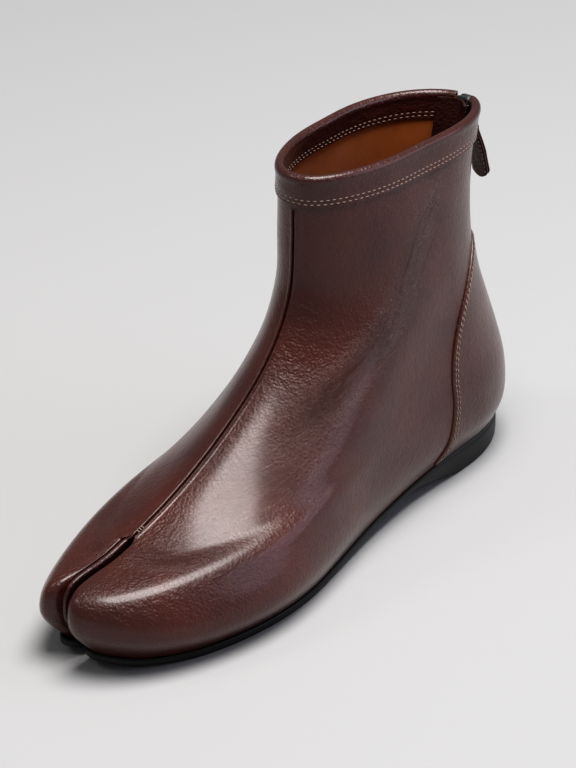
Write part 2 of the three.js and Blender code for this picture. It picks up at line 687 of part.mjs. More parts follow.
function zipStopGeometry() {
  const half = CHAIN_WIDTH / 2 + STOP_PROUD;
  const top = CHAIN_FOOT_LEVEL - STOP_TALL / 5;
  const places = stripPlaces(top - STOP_TALL, top, 1, 2, () => [-half, half]);
  return skinSheet(places, CHAIN_THICK - WALL + STOP_PROUD, -WALL);
}

// Guard behind the zip, inside the inner plate of the slider
const PLATE_OUT = CHAIN_THICK - WALL + TAPE_ROOM;
const GUARD_BELOW = 0.3;
const PLATE_IN = TAPE_INNER - SLIDER_ROOM;
const GUARD_OUTER = PLATE_IN - SLIDER_PLATE - CLEARANCE;
function guardGeometry() {
  const edges = () => [-GUARD_WIDTH / 2, GUARD_WIDTH / 2];
  const places = stripPlaces(ZIP_FOOT_LEVEL - GUARD_BELOW, COLLAR_LEVEL, 12, 6, edges);
  return skinSheet(places, GUARD_OUTER, GUARD_OUTER - GUARD_THICK);
}

const joined = (pieces) => geometryOf(pieces.map(solidOf).reduce((sum, piece) => sum.add(piece)));
function block(width, depth, height, x, y, z) {
  return new THREE.BoxGeometry(width, depth, height).translate(x, y, z);
}

// A flat plate in the XZ plane, from an outline of [x, z] points or a Shape, centred on y.
function plate(shape, thick, y) {
  const geometry = new THREE.ExtrudeGeometry(shape, { depth: thick, bevelEnabled: false, curveSegments: 8 });
  return geometry.rotateX(Math.PI / 2).translate(0, y + thick / 2, 0);
}

// Slider in its own frame: y points out of the shaft, z up the zip, z = 0 the chain's top end.
const SLIDER_ABOVE = 3.6;
const SLIDER_NOSE = 0.6;
const BAIL_HOLE = 1.3;
const BAIL_SUNK = 0.2;
const BAIL_Z = SLIDER_ABOVE - SLIDER_LENGTH / 2;
const PIVOT_Y = PLATE_OUT + SLIDER_PLATE + BAIL_HOLE;
function sliderPlate(width, y) {
  const half = width / 2;
  const low = SLIDER_ABOVE - SLIDER_LENGTH;
  const waist = low + 0.45 * SLIDER_LENGTH;
  const round = 0.4 * half;
  const outline = new THREE.Shape();
  outline.moveTo(-half * 0.75, low);
  outline.lineTo(half * 0.75, low);
  outline.lineTo(half, waist);
  outline.lineTo(half, SLIDER_ABOVE - round);
  outline.quadraticCurveTo(half, SLIDER_ABOVE, half - round, SLIDER_ABOVE);
  outline.lineTo(round - half, SLIDER_ABOVE);
  outline.quadraticCurveTo(-half, SLIDER_ABOVE, -half, SLIDER_ABOVE - round);
  outline.lineTo(-half, waist);
  return plate(outline, SLIDER_PLATE, y);
}
function sliderGeometry() {
  const noseDepth = PLATE_OUT + SLIDER_PLATE - (PLATE_IN - SLIDER_PLATE);
  const noseHeight = SLIDER_ABOVE - SLIDER_NOSE;
  const noseY = PLATE_OUT + SLIDER_PLATE - noseDepth / 2;
  const bail = new THREE.Shape();
  const reach = BAIL_HOLE + BAIL_THICK;
  bail.moveTo(PLATE_OUT + BAIL_SUNK, BAIL_Z - reach);
  bail.lineTo(PIVOT_Y, BAIL_Z - reach);
  bail.absarc(PIVOT_Y, BAIL_Z, reach, -Math.PI / 2, Math.PI / 2, false);
  bail.lineTo(PLATE_OUT + BAIL_SUNK, BAIL_Z + reach);
  const eye = new THREE.Path();
  eye.absarc(PIVOT_Y, BAIL_Z, BAIL_HOLE, 0, 2 * Math.PI, true);
  bail.holes.push(eye);
  const arch = new THREE.ExtrudeGeometry(bail, { depth: BAIL_WIDTH, bevelEnabled: false, curveSegments: 10 });
  arch.applyMatrix4(new THREE.Matrix4().set(0, 0, 1, -BAIL_WIDTH / 2, 1, 0, 0, 0, 0, 1, 0, 0, 0, 0, 0, 1));
  return joined([
    sliderPlate(SLIDER_WIDTH, PLATE_OUT + SLIDER_PLATE / 2),
    sliderPlate(SLIDER_INNER_WIDTH, PLATE_IN - SLIDER_PLATE / 2),
    block(SLIDER_WIDTH * 0.45, noseDepth, noseHeight, 0, noseY, SLIDER_NOSE + noseHeight / 2),
    arch,
  ]);
}

// Puller: hangs from the slider's bail. Its frame has the hinge axis along x through z = 0.
const PULLER_BAR = 0.7;
const PULLER_EYE = 2.9;
const PULLER_SIDE = 1;
const TAB_SLOT = 1.8;
function stadium(width, low, high) {
  const shape = new THREE.Shape();
  const r = width / 2;
  shape.moveTo(-r, low + r);
  shape.absarc(0, low + r, r, Math.PI, 2 * Math.PI, false);
  shape.lineTo(r, high - r);
  shape.absarc(0, high - r, r, 0, Math.PI, false);
  return shape;
}
function pullerGeometry() {
  const outer = stadium(PULLER_WIDTH, PULLER_BAR - PULLER_LENGTH, PULLER_BAR);
  const holeHalf = PULLER_WIDTH / 2 - PULLER_SIDE;
  const hole = (low, high) => {
    const path = new THREE.Path();
    path.moveTo(-holeHalf, low);
    path.lineTo(-holeHalf, high);
    path.lineTo(holeHalf, high);
    path.lineTo(holeHalf, low);
    path.closePath();
    return path;
  };
  const slotLow = 3 * PULLER_BAR - PULLER_LENGTH;
  outer.holes.push(hole(-PULLER_BAR - PULLER_EYE, -PULLER_BAR));
  outer.holes.push(hole(slotLow, slotLow + TAB_SLOT));
  return plate(outer, PULLER_THICK, 0);
}

// Leather tab: a loop through the puller's slot, and a doubled strap that widens to a round end.
const TAB_RING = 1.25;
const TAB_EYE_Z = 2 * PULLER_BAR - PULLER_LENGTH;
function tabGeometry() {
  const ring = new THREE.Shape();
  ring.absarc(0, TAB_EYE_Z, TAB_RING + TAB_LOOP_THICK, 0, 2 * Math.PI, false);
  const eye = new THREE.Path();
  eye.absarc(0, TAB_EYE_Z, TAB_RING, 0, 2 * Math.PI, true);
  ring.holes.push(eye);
  const cut = { depth: TAB_LOOP_WIDTH, bevelEnabled: false, curveSegments: 10 };
  const loopSolid = new THREE.ExtrudeGeometry(ring, cut);
  loopSolid.applyMatrix4(new THREE.Matrix4()
    .set(0, 0, 1, -TAB_LOOP_WIDTH / 2, 1, 0, 0, 0, 0, 1, 0, 0, 0, 0, 0, 1));
  const top = TAB_EYE_Z - TAB_RING - TAB_LOOP_THICK * 0.6;
  const low = top - TAB_LENGTH;
  const r = TAB_WIDTH / 2;
  const strap = new THREE.Shape();
  strap.moveTo(-TAB_NECK / 2, top);
  strap.bezierCurveTo(-TAB_NECK / 2, top - 0.3 * TAB_LENGTH, -r, top - 0.45 * TAB_LENGTH, -r, low + r);
  strap.absarc(0, low + r, r, Math.PI, 2 * Math.PI, false);
  strap.bezierCurveTo(r, top - 0.45 * TAB_LENGTH, TAB_NECK / 2, top - 0.3 * TAB_LENGTH, TAB_NECK / 2, top);
  return joined([loopSolid, plate(strap, TAB_THICK, 0)]);
}

// Materials from the photograph
function material(color, roughness, metalness) {
  return new THREE.MeshStandardMaterial({ color, roughness, metalness });
}
const leather = material(0x4a2723, 0.38, 0);
const edgeRubber = material(0x1c1b1b, 0.6, 0);
const lining = material(0x7c3f16, 0.75, 0);
const fabric = material(0x2c1c19, 0.9, 0);
const metal = material(0x6d706a, 0.35, 1);

function piece(name, geometry, finish) {
  const mesh = new THREE.Mesh(geometry, finish);
  mesh.name = name;
  return mesh;
}

// The zip's slider stands at the chain's top end and leans with the back of the shaft.
function zipTop() {
  const at = toPart(lastPoint(ZIP_TOP_LEVEL, 0));
  const below = toPart(lastPoint(ZIP_TOP_LEVEL - 0.3, 0));
  const lean = Math.atan2(at[1] - below[1], at[2] - below[2]);
  const slider = new THREE.Group();
  slider.position.set(...at);
  slider.rotation.x = -lean;
  slider.add(piece('zip_slider', sliderGeometry(), metal));
  const pivot = new THREE.Vector3(0, PIVOT_Y, BAIL_Z).applyEuler(slider.rotation).add(slider.position);
  const pull = new THREE.Group();
  pull.position.copy(pivot);
  pull.rotation.x = THREE.MathUtils.degToRad(PULL_SWING);
  pull.add(piece('zip_puller', pullerGeometry(), metal));
  pull.add(piece('pull_tab', tabGeometry(), leather));
  return [slider, pull];
}

const boot = new THREE.Group();
boot.add(piece('outsole', outsoleGeometry(), edgeRubber));
boot.add(piece('insole', insoleGeometry(), lining));
boot.add(piece('upper', upperGeometry(), leather));
boot.add(piece('heel_counter', counterGeometry(), leather));
boot.add(piece('collar_band', bandGeometry(), leather));
boot.add(piece('zip_tape_outer', tapeGeometry(1), fabric));
boot.add(piece('zip_tape_inner', tapeGeometry(-1), fabric));
boot.add(piece('zip_chain', chainGeometry(), metal));
boot.add(piece('zip_stop', zipStopGeometry(), metal));
boot.add(piece('zip_guard', guardGeometry(), leather));
boot.add(...zipTop());

export default boot;
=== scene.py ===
# Left split-toe ankle boot (jika tabi form) in dark brown calf leather, with a zip at the back.
# Lengths below are millimetres in the part's frame, toes towards -Y, and meshes are made in metres.

import bmesh
import bpy
import numpy as np
from mathutils import Matrix, Vector


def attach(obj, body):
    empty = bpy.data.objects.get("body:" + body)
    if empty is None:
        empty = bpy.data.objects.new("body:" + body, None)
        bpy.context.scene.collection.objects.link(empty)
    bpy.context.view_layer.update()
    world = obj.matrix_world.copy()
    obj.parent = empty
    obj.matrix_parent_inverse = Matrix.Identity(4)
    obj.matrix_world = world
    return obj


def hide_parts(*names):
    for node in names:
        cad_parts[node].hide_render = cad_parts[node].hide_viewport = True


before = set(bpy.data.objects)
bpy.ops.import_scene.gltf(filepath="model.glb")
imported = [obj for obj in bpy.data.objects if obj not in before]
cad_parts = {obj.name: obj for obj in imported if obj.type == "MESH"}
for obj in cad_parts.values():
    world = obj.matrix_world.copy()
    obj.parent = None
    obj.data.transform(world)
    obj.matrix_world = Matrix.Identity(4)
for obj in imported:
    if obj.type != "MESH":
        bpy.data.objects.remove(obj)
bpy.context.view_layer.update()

# The last: the wooden form of the foot that the leather is pulled over. It doesn't show, but every
# panel of the boot is a sheet at some distance from its surface, so its sizes and tables come first.
MM = 0.001
LENGTH = 270.0
BALL_WIDTH = 92.0
HEEL_WIDTH = 64.0
INSTEP_HEIGHT = 84.4
HEIGHT = 159.5
COLLAR_DEPTH = 109.0
COLLAR_WIDTH = 51.5
HEEL_HEIGHT = 13.0
CLEARANCE = 0.3
HEEL_CENTRE = 0.1407 * LENGTH
SHAFT_RISE = HEIGHT - INSTEP_HEIGHT

# One row for each level, from the sole edge to the collar. back and front are shares of LENGTH in
# the foot; in the shaft the front lies a share of COLLAR_DEPTH ahead of the back.
LEVEL_COLUMNS = ("back", "back_up", "front", "front_up", "heel", "outer_waist", "outer_ball",
                 "inner_waist", "inner_ball", "round_back", "round_from", "power", "lip_side", "lip_in")
FOOT_ROWS = {
    "feather": (0.012, 0.0, 0.968, 0.0, 0.850, 0.330, 0.425, 0.263, 0.430, 0.16, 0.63, 2.40, 0.110, 0.085),
    "bulge": (0.004, 0.287, 1.000, 0.250, 1.000, 0.370, 0.498, 0.316, 0.478, 0.17, 0.64, 2.45, 0.110, 0.090),
    "toe_top": (0.007, 0.466, 0.981, 0.405, 1.010, 0.369, 0.462, 0.337, 0.457, 0.18, 0.50, 2.45, 0.07, 0.08),
    "toe_root": (0.025, 0.656, 0.885, 0.452, 0.94, 0.359, 0.430, 0.337, 0.428, 0.19, 0.39, 2.17, 0.034, 0.05),
    "ball": (0.050, 0.850, 0.773, 0.560, 0.885, 0.345, 0.420, 0.333, 0.389, 0.21, 0.36, 1.98, 0.026, 0.030),
    "vamp": (0.074, 1.030, 0.655, 0.754, 0.840, 0.330, 0.382, 0.324, 0.339, 0.24, 0.38, 1.93, 0.026, 0.030),
    "instep": (0.089, 1.214, 0.550, 1.000, 0.812, 0.314, 0.331, 0.312, 0.311, 0.30, 0.44, 1.98, 0.026, 0.030),
}
SHAFT_ROWS = {
    "throat": (0.096, 0.460, 0.985, 0.302, 0.498, 0.520, 0.515, 0.520, 0.528, 0.36, 0.50, 2.13, 0.026, 0.030),
    "shin": (0.093, 0.695, 0.960, 0.628, 0.503, 0.494, 0.480, 0.508, 0.522, 0.42, 0.53, 2.30, 0.026, 0.030),
    "collar": (0.0775, 0.972, 1.0, 1.0, 0.5, 0.440, 0.415, 0.488, 0.466, 0.45, 0.56, 2.40, 0.026, 0.030),
}
# How far the middle of the back, with the zip, stands to the outer side at each level: shares of
# COLLAR_WIDTH.
ZIP_ASIDE = (0, 0, 0, 0.006, 0.020, 0.040, 0.065, 0.090, 0.108, 0.118)
# Side profile of the sole: ahead as a share of LENGTH, top and under of HEEL_HEIGHT.
SOLE_ROWS = {
    "heel_back": (-0.010, 1.000, 0.060),
    "heel_rest": (0.030, 1.000, 0.000),
    "heel_front": (0.190, 0.975, 0.000),
    "breast": (0.256, 0.925, 0.330),
    "arch": (0.330, 0.835, 0.600),
    "waist": (0.434, 0.630, 0.410),
    "tread_back": (0.552, 0.390, 0.130),
    "ball_rest": (0.630, 0.275, 0.000),
    "ball_front": (0.830, 0.270, 0.000),
    "toe": (0.915, 0.390, 0.125),
    "tip": (0.990, 0.720, 0.455),
}
# Centre line of the cleft and the front seam: ahead as a share of LENGTH, x of BALL_WIDTH.
CLEFT_ROWS = {
    "shin": (0.000, 0.000),
    "instep": (0.460, 0.000),
    "vamp": (0.620, -0.010),
    "crotch": (0.828, -0.046),
    "between_toes": (0.920, -0.058),
    "toe": (1.000, -0.088),
}
WIDTH_STATIONS = (0.0, 0.12, 0.42, 0.7, 1.0)
TOE_NARROWING = 0.86
COLLAR_LEVEL = len(FOOT_ROWS) + len(SHAFT_ROWS) - 1
SOLE_BEND_LEVEL = 3


def mix(a, b, t):
    """Straight-line blend from a to b."""
    return a + (b - a) * t


def smooth(t):
    """Blend that starts and ends level: 3t^2 - 2t^3, with t held between 0 and 1."""
    t = np.clip(t, 0, 1)
    return t * t * (3 - 2 * t)


def curve(knots, values, at, level=False):
    """Cubic through the knots, along the last axis. The slope at a knot is the mean of the chords
    beside it. When level is set it is their harmonic mean, or none where they turn, so that flat
    stretches stay flat."""
    knots = np.asarray(knots, float)
    at = np.asarray(at, float)
    values = np.broadcast_to(np.asarray(values, float), at.shape[:-1] + (len(knots),))
    step = np.diff(knots)
    chord = np.diff(values, axis=-1) / step
    before, after = chord[..., :-1], chord[..., 1:]
    if level:
        turning = before * after <= 0
        total = np.where(turning, 1.0, before + after)
        inner = np.where(turning, 0.0, 2 * before * after / total)
        first = np.zeros_like(chord[..., :1])
    else:
        inner = (before + after) / 2
        first = chord[..., :1]
    slope = np.concatenate([first, inner, chord[..., -1:]], axis=-1)
    k = np.clip(np.searchsorted(knots, at) - 1, 0, len(step) - 1)
    t = (at - knots[k]) / step[k]
    take = lambda table, index: np.take_along_axis(table, index, axis=-1)
    rise = (t ** 3 - 2 * t ** 2 + t) * take(slope, k) + (t ** 3 - t ** 2) * take(slope, k + 1)
    return mix(take(values, k), take(values, k + 1), 3 * t ** 2 - 2 * t ** 3) + step[k] * rise


def column(rows, index):
    """One column of a table of named rows."""
    return [row[index] for row in rows.values()]


def sole_top(ahead):
    """Height of the sole's top at a distance ahead of the heel's back."""
    return HEEL_HEIGHT * curve(column(SOLE_ROWS, 0), column(SOLE_ROWS, 1), ahead / LENGTH, level=True)


def sole_under(ahead):
    """Height of the sole's underside at a distance ahead."""
    return HEEL_HEIGHT * curve(column(SOLE_ROWS, 0), column(SOLE_ROWS, 2), ahead / LENGTH, level=True)


def cleft_x(ahead):
    """Centre line of the cleft and of the front seam, seen from above."""
    return BALL_WIDTH * curve(column(CLEFT_ROWS, 0), column(CLEFT_ROWS, 1), ahead / LENGTH)


def levels_in_mm():
    """Table of every level in millimetres, as one array for each column."""
    foot = np.array(list(FOOT_ROWS.values()))
    shaft = np.array(list(SHAFT_ROWS.values()))
    width = BALL_WIDTH
    foot = foot * [LENGTH, INSTEP_HEIGHT, LENGTH, INSTEP_HEIGHT, HEEL_WIDTH / 2,
                   width, width, width, width, 1, 1, 1, width, width]
    shaft = shaft * ([LENGTH, SHAFT_RISE, COLLAR_DEPTH, SHAFT_RISE] + [COLLAR_WIDTH] * 5
                     + [1, 1, 1, width, width])
    shaft[:, 1] += INSTEP_HEIGHT
    shaft[:, 2] += shaft[:, 0]
    shaft[:, 3] += INSTEP_HEIGHT
    foot[0, 1] = sole_top(foot[0, :1])[0] + CLEARANCE
    foot[0, 3] = sole_top(foot[0, 2:3])[0] + CLEARANCE
    table = dict(zip(LEVEL_COLUMNS, np.concatenate([foot, shaft]).T))
    table["zip_aside"] = COLLAR_WIDTH * np.array(ZIP_ASIDE)
    return table


LEVELS = levels_in_mm()


def level(v):
    """Every column of the table at levels v, which may lie between rows."""
    return {key: curve(np.arange(COLLAR_LEVEL + 1), values, v) for key, values in LEVELS.items()}


def plane_height(v, ahead):
    """Height of level v at a distance ahead: a leaning plane, which near the sole bends with its top."""
    p = {key: values[:, None] for key, values in level(v).items()}
    t = (ahead - p["back"]) / (p["front"] - p["back"])
    chord = mix(sole_top(p["back"]), sole_top(p["front"]), t)
    bend = (1 - smooth(v[:, None] / SOLE_BEND_LEVEL)) * (sole_top(ahead) - chord)
    return mix(p["back_up"], p["front_up"], t) + bend


def half_loop(v, side, grow=0.0, steps=90):
    """Half of each level, from the middle of the back to the middle of the front, as points
    (x, ahead, z): a quarter ellipse, a straight run and a quarter superellipse, across a half
    width that runs smoothly through the table's widths at the stations."""
    p = {key: values[:, None] for key, values in level(v).items()}
    q = np.linspace(0, 1, steps + 1)
    quarter = q * np.pi / 2
    ones = np.ones((len(v), 1))
    far = np.append(np.cos(quarter[:-1]), 0.0)
    t = np.concatenate([
        p["round_back"] * (1 - np.cos(quarter)),
        mix(p["round_back"], p["round_from"], q[1:-1]),
        mix(p["round_from"], 1, np.sin(quarter) ** (2 / p["power"])),
    ], axis=1)
    reach = np.concatenate([ones * np.sin(quarter), ones * np.ones(steps - 1), far ** (2 / p["power"])],
                           axis=1)
    waist, ball = ("outer_waist", "outer_ball") if side > 0 else ("inner_waist", "inner_ball")
    widths = np.concatenate([p["heel"], p["heel"], p[waist], p[ball], p[ball] * TOE_NARROWING], axis=1)
    ahead = p["back"] - grow + t * (p["front"] - p["back"] + 2 * grow)
    centre = cleft_x(ahead) + np.where(t < p["round_back"], p["zip_aside"], 0)
    x = centre + (side * (curve(WIDTH_STATIONS, widths, t) + grow) - centre) * reach
    return np.stack([x, ahead, plane_height(v, ahead)], axis=-1)


def arc_of(points):
    """Distance along each row of points from its first one."""
    step = np.linalg.norm(np.diff(points, axis=1), axis=-1)
    return np.concatenate([np.zeros((len(points), 1)), np.cumsum(step, axis=1)], axis=1)


def look_up(at, knots, values):
    """Straight-line look-up in each row by itself. Knots rise along a row, values are numbers or points."""
    rows, count = knots.shape
    shift = np.arange(rows)[:, None] * (2 * np.abs(knots).max() + 2 * np.abs(at).max() + 1)
    place = np.searchsorted((knots + shift).ravel(), (at + shift).ravel()).reshape(at.shape)
    k = np.clip(place - np.arange(rows)[:, None] * count - 1, 0, count - 2)
    low = np.take_along_axis(knots, k, axis=1)
    high = np.take_along_axis(knots, k + 1, axis=1)
    t = np.clip((at - low) / np.maximum(high - low, 1e-9), 0, 1)
    if values.ndim == 3:
        t, k = t[..., None], k[..., None]
    return mix(np.take_along_axis(values, k, axis=1), np.take_along_axis(values, k + 1, axis=1), t)


def last_point(v, c):
    """The last's surface. c runs once round a level: 0 is the middle of the back, 1 the middle of
    the front by way of the outer side, 2 the back again."""
    outer = half_loop(v, 1)
    inner = half_loop(v, -1)
    arc_out, arc_in = arc_of(outer), arc_of(inner)
    turns = np.concatenate([arc_out / arc_out[:, -1:], (2 - arc_in / arc_in[:, -1:])[:, -2::-1]], axis=1)
    ring = np.concatenate([outer, inner[:, -2::-1]], axis=1)
    return look_up(np.mod(np.broadcast_to(c, (len(v), np.shape(c)[-1])), 2), turns, ring)


def skin(v, c, offset=0.0, rise=0.0):
    """Points on the last's surface moved out along its normal by offset, which may be an array,
    and up along the surface by rise. The normal is the cross product of the surface's two
    directions, each taken over a few millimetres."""
    place = last_point(v, c)
    along = last_point(v, c + 0.012) - last_point(v, c - 0.012)
    up = last_point(np.minimum(v + 0.06, COLLAR_LEVEL), c) - last_point(np.maximum(v - 0.06, 0), c)
    normal = np.cross(along, up)
    normal /= np.linalg.norm(normal, axis=-1, keepdims=True)
    up /= np.linalg.norm(up, axis=-1, keepdims=True)
    spread = lambda amount: np.broadcast_to(amount, place.shape[:2])[..., None]
    return place + normal * spread(offset) + up * spread(rise)


def skin_at(v, c, offset=0.0, rise=0.0):
    """The same for lines that cross the levels: v holds one level for each line and each turn of
    c. The surface is worked out on close levels and blended straight between them."""
    v = np.atleast_2d(v)
    rows = np.linspace(v.min(), v.max(), int((v.max() - v.min()) / 0.03) + 2)
    place = skin(rows, c)
    step = max(rows[1] - rows[0], 1e-9)
    k = np.clip(((v - rows[0]) / step).astype(int), 0, len(rows) - 2)
    t = ((v - rows[k]) / step)[..., None]
    turn = np.arange(v.shape[1])
    at = lambda table: mix(table[k, turn], table[k + 1, turn], t)
    out, up = skin(rows, c, 1.0) - place, skin(rows, c, 0.0, 1.0) - place
    return at(place) + at(out) * np.asarray(offset)[..., None] + at(up) * np.asarray(rise)[..., None]


def level_where(measure, value, low, high):
    """Level between low and high where a rising measure reaches a value, by halving."""
    for _ in range(40):
        middle = (low + high) / 2
        low, high = (middle, high) if measure(middle) < value else (low, middle)
    return (low + high) / 2


def level_at_back(height):
    """Level whose middle of the back lies at a height."""
    return level_where(lambda v: last_point(np.array([v]), np.array([0.0]))[0, 0, 2], height, 0, COLLAR_LEVEL)


def half_length(v, side):
    """Length of half a level, from the middle of the back to the middle of the front."""
    return arc_of(half_loop(v, side))[:, -1:]


def turn_of(v, side, distance):
    """Part of a turn that a distance along the surface takes, from the middle of the back."""
    return side * distance / half_length(v, side)


# The upper: two quarters of dark reddish-brown calf leather, about a millimetre thick, closed along
# the front by a raised seam and cut between the toes, with a slit for the zip at the back.
WALL = 1.6
LEATHER = 1.0
CROTCH = 0.828 * LENGTH
CROTCH_LEVEL = level_where(lambda v: -level(np.array([v]))["front"][0], -CROTCH, 2, 5)
CLEFT_RUN_OUT = 10.0
CLEFT_GAP = {1: 1.6, -1: 4.2}
SEAM_HALF = 2.4
SEAM_RISE = 0.8
SEAM_GROOVE = 0.7
SEAM_FADE_LEVEL = COLLAR_LEVEL - 0.56
SEAM_FADE = 0.12
SLIT_HALF = 4.0
SLIT_RUN = 0.16
ZIP_FOOT_LEVEL = level_at_back(0.385 * HEIGHT)
LIP_LEAST = 0.6
LIP_END = 0.46
WALL_END = 0.78


def spaced(count, *crowds):
    """count numbers from 0 to 1 that crowd round the given (place, width, weight) bumps."""
    t = np.linspace(0, 1, 2000)
    density = 1 + sum(weight * np.exp(-((t - place) / width) ** 2) for place, width, weight in crowds)
    total = np.concatenate([[0], np.cumsum((density[1:] + density[:-1]) / 2)])
    return np.interp(np.linspace(0, 1, count), total / total[-1], t)


def upper_half(v, side, offset, lengths, steps):
    """One side of the upper as a grid of points (x, ahead, z). Its main columns share out the
    distance from the zip slit to the cleft's lip, and its front columns run over the lip, down the
    wall and round the floor of the cleft, or where there is no cleft, over the front seam."""
    p = level(v)
    turns = np.linspace(0, 1, 401)
    half = skin(v, turns if side > 0 else 2 - turns, offset)
    arc = arc_of(half)
    depth = np.maximum(half[:, -1, 1] - (CROTCH + offset), 0)[:, None]
    open_ = smooth(depth / CLEFT_RUN_OUT)
    gap = (CLEFT_GAP[side] - offset) * open_
    lip_side = mix(SEAM_HALF, p["lip_side"][:, None] + offset, open_)
    lip_in = np.minimum(np.maximum(p["lip_in"][:, None] + offset, LIP_LEAST), depth / 2)
    aside = np.abs(half[..., 0] - cleft_x(half[..., 1]))
    from_front = np.maximum.accumulate(aside[:, ::-1], axis=1)
    length_at = lambda wanted: look_up(wanted, from_front, arc[:, ::-1])
    run = np.clip((v - ZIP_FOOT_LEVEL) / SLIT_RUN, 0, 1)[:, None]
    start = SLIT_HALF * np.sin(run * np.pi / 2)
    main_arc = mix(start, length_at(gap + lip_side), lengths)
    main = look_up(main_arc, arc, half)
    w = np.broadcast_to(steps, (len(v), len(steps)))
    lip_turn = np.clip(w / LIP_END, 0, 1) * np.pi / 2
    floor_turn = np.clip((w - WALL_END) / (1 - WALL_END), 0, 1) * np.pi / 2
    floor = np.maximum(depth - gap, lip_in)
    down = np.clip((w - LIP_END) / (WALL_END - LIP_END), 0, 1)
    cleft_aside = (gap + lip_side * (1 - np.sin(lip_turn))) * np.where(w > WALL_END, np.cos(floor_turn), 1)
    cleft_in = (lip_in * (1 - np.cos(lip_turn)) + (floor - lip_in) * down
                + (depth - floor) * np.sin(floor_turn))
    across = mix(SEAM_HALF * (1 - w), cleft_aside, open_)
    base = look_up(length_at(across), arc, half)
    base[:, -1] = half[:, -1]
    ahead = base[..., 1] - cleft_in * open_
    z = base[..., 2] + plane_height(v, ahead) - plane_height(v, base[..., 1])
    front = np.stack([cleft_x(ahead) + side * across, ahead, z], axis=-1)
    seam = (1 - open_) * (1 - smooth((v[:, None] - SEAM_FADE_LEVEL) / SEAM_FADE))
    if offset == 0:
        rise = curve((0, 0.3, 0.52, 0.74, 0.9, 1), (0, 0.35 * SEAM_RISE, SEAM_RISE, 0.8 * SEAM_RISE,
                                                    -SEAM_GROOVE, -SEAM_GROOVE), w, level=True)
        normal = skin(v, np.array([1.0]), 1.0) - skin(v, np.array([1.0]), 0.0)
        front += normal * (rise * seam)[..., None]
    around = np.concatenate([main_arc, np.broadcast_to(length_at(across), w.shape)], axis=1)
    return np.concatenate([main, front], axis=1), around


def to_part(points):
    """Places (x, ahead, z) in the part's frame."""
    return np.stack([points[..., 0], HEEL_CENTRE - points[..., 1], points[..., 2]], axis=-1)


def grid_faces(rows, columns, first=0, turned=False):
    """Quads of a grid of points, numbered from first, along its rows."""
    index = first + np.arange(rows * columns).reshape(rows, columns)
    quads = np.stack([index[:-1, :-1], index[:-1, 1:], index[1:, 1:], index[1:, :-1]], axis=-1).reshape(-1, 4)
    return quads[:, ::-1] if turned else quads


def new_piece(name, points, faces, material, uv=None, sharp=40, merge=0.002, **fields):
    """Object from points in millimetres and faces as rows of corner numbers. uv is one pair for
    each point, and fields are numbers for each point that the material reads as attributes."""
    mesh = bpy.data.meshes.new(name)
    mesh.from_pydata((np.asarray(points).reshape(-1, 3) * MM).tolist(), [], np.asarray(faces).tolist())
    for key, values in fields.items():
        field = mesh.attributes.new(key, "FLOAT", "POINT")
        field.data.foreach_set("value", np.ravel(values).astype(np.float32))
    if uv is not None:
        corner = np.zeros(len(mesh.loops), int)
        mesh.loops.foreach_get("vertex_index", corner)
        flat = uv.reshape(-1, 2)[corner].ravel().astype(np.float32)
        mesh.uv_layers.new(name="UVMap").data.foreach_set("uv", flat)
    work = bmesh.new()
    work.from_mesh(mesh)
    bmesh.ops.remove_doubles(work, verts=work.verts, dist=merge * MM)
    bmesh.ops.dissolve_degenerate(work, edges=work.edges, dist=1e-8)
    bmesh.ops.recalc_face_normals(work, faces=work.faces)
    work.to_mesh(mesh)
    work.free()
    mesh.validate()
    mesh.polygons.foreach_set("use_smooth", np.ones(len(mesh.polygons), bool))
    mesh.set_sharp_from_angle(angle=np.radians(sharp))
    mesh.materials.append(material)
    piece = bpy.data.objects.new(name, mesh)
    bpy.context.scene.collection.objects.link(piece)
    return piece


def fitted(piece, body, node=None):
    """Says which body the piece moves with, and hides the solid it stands for."""
    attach(piece, body)
    if node:
        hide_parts(node)


def sheet(front, back, first_from=0, last_from=0):
    """Points and faces of a sheet between two equal grids, with its edges filled. Its first and
    last columns are filled from a row on. Below that they join another column."""
    rows, columns = front.shape[:2]
    size = rows * columns
    index = np.arange(size).reshape(rows, columns)
    strips = [index[0], index[-1, ::-1], index[last_from:, -1], index[first_from:, 0][::-1]]
    edges = [np.stack([s[1:], s[:-1], s[:-1] + size, s[1:] + size], axis=-1) for s in strips]
    faces = np.concatenate([grid_faces(rows, columns), grid_faces(rows, columns, size, turned=True)] + edges)
    return np.concatenate([front.reshape(-1, 3), back.reshape(-1, 3)]), faces


def linear(code):
    """Linear colour, with alpha, from an sRGB hex code."""
    values = np.array([int(code[k:k + 2], 16) for k in (1, 3, 5)]) / 255
    values = np.where(values <= 0.04045, values / 12.92, ((values + 0.055) / 1.055) ** 2.4)
    return (*values, 1.0)


def add(tree, kind, sockets=None, **settings):
    """Adds a node. Settings go on the node itself, and sockets holds values or links by input name
    or number."""
    node = tree.nodes.new(kind)
    for key, value in settings.items():
        setattr(node, key, value)
    for key, value in (sockets or {}).items():
        if isinstance(value, bpy.types.NodeSocket):
            tree.links.new(value, node.inputs[key])
        else:
            node.inputs[key].default_value = value
    return node


def blank_material(name):
    """Material with an empty node tree, and the object's own metres to draw its patterns in."""
    material = bpy.data.materials.new(name)
    material.use_nodes = True
    tree = material.node_tree
    tree.nodes.clear()
    return material, tree, add(tree, "ShaderNodeTexCoord").outputs["Object"]


def surfaced(material, sockets):
    """The material, once its one shader is joined to the output."""
    shader = add(material.node_tree, "ShaderNodeBsdfPrincipled", sockets)
    add(material.node_tree, "ShaderNodeOutputMaterial", {0: shader.outputs[0]})
    return material


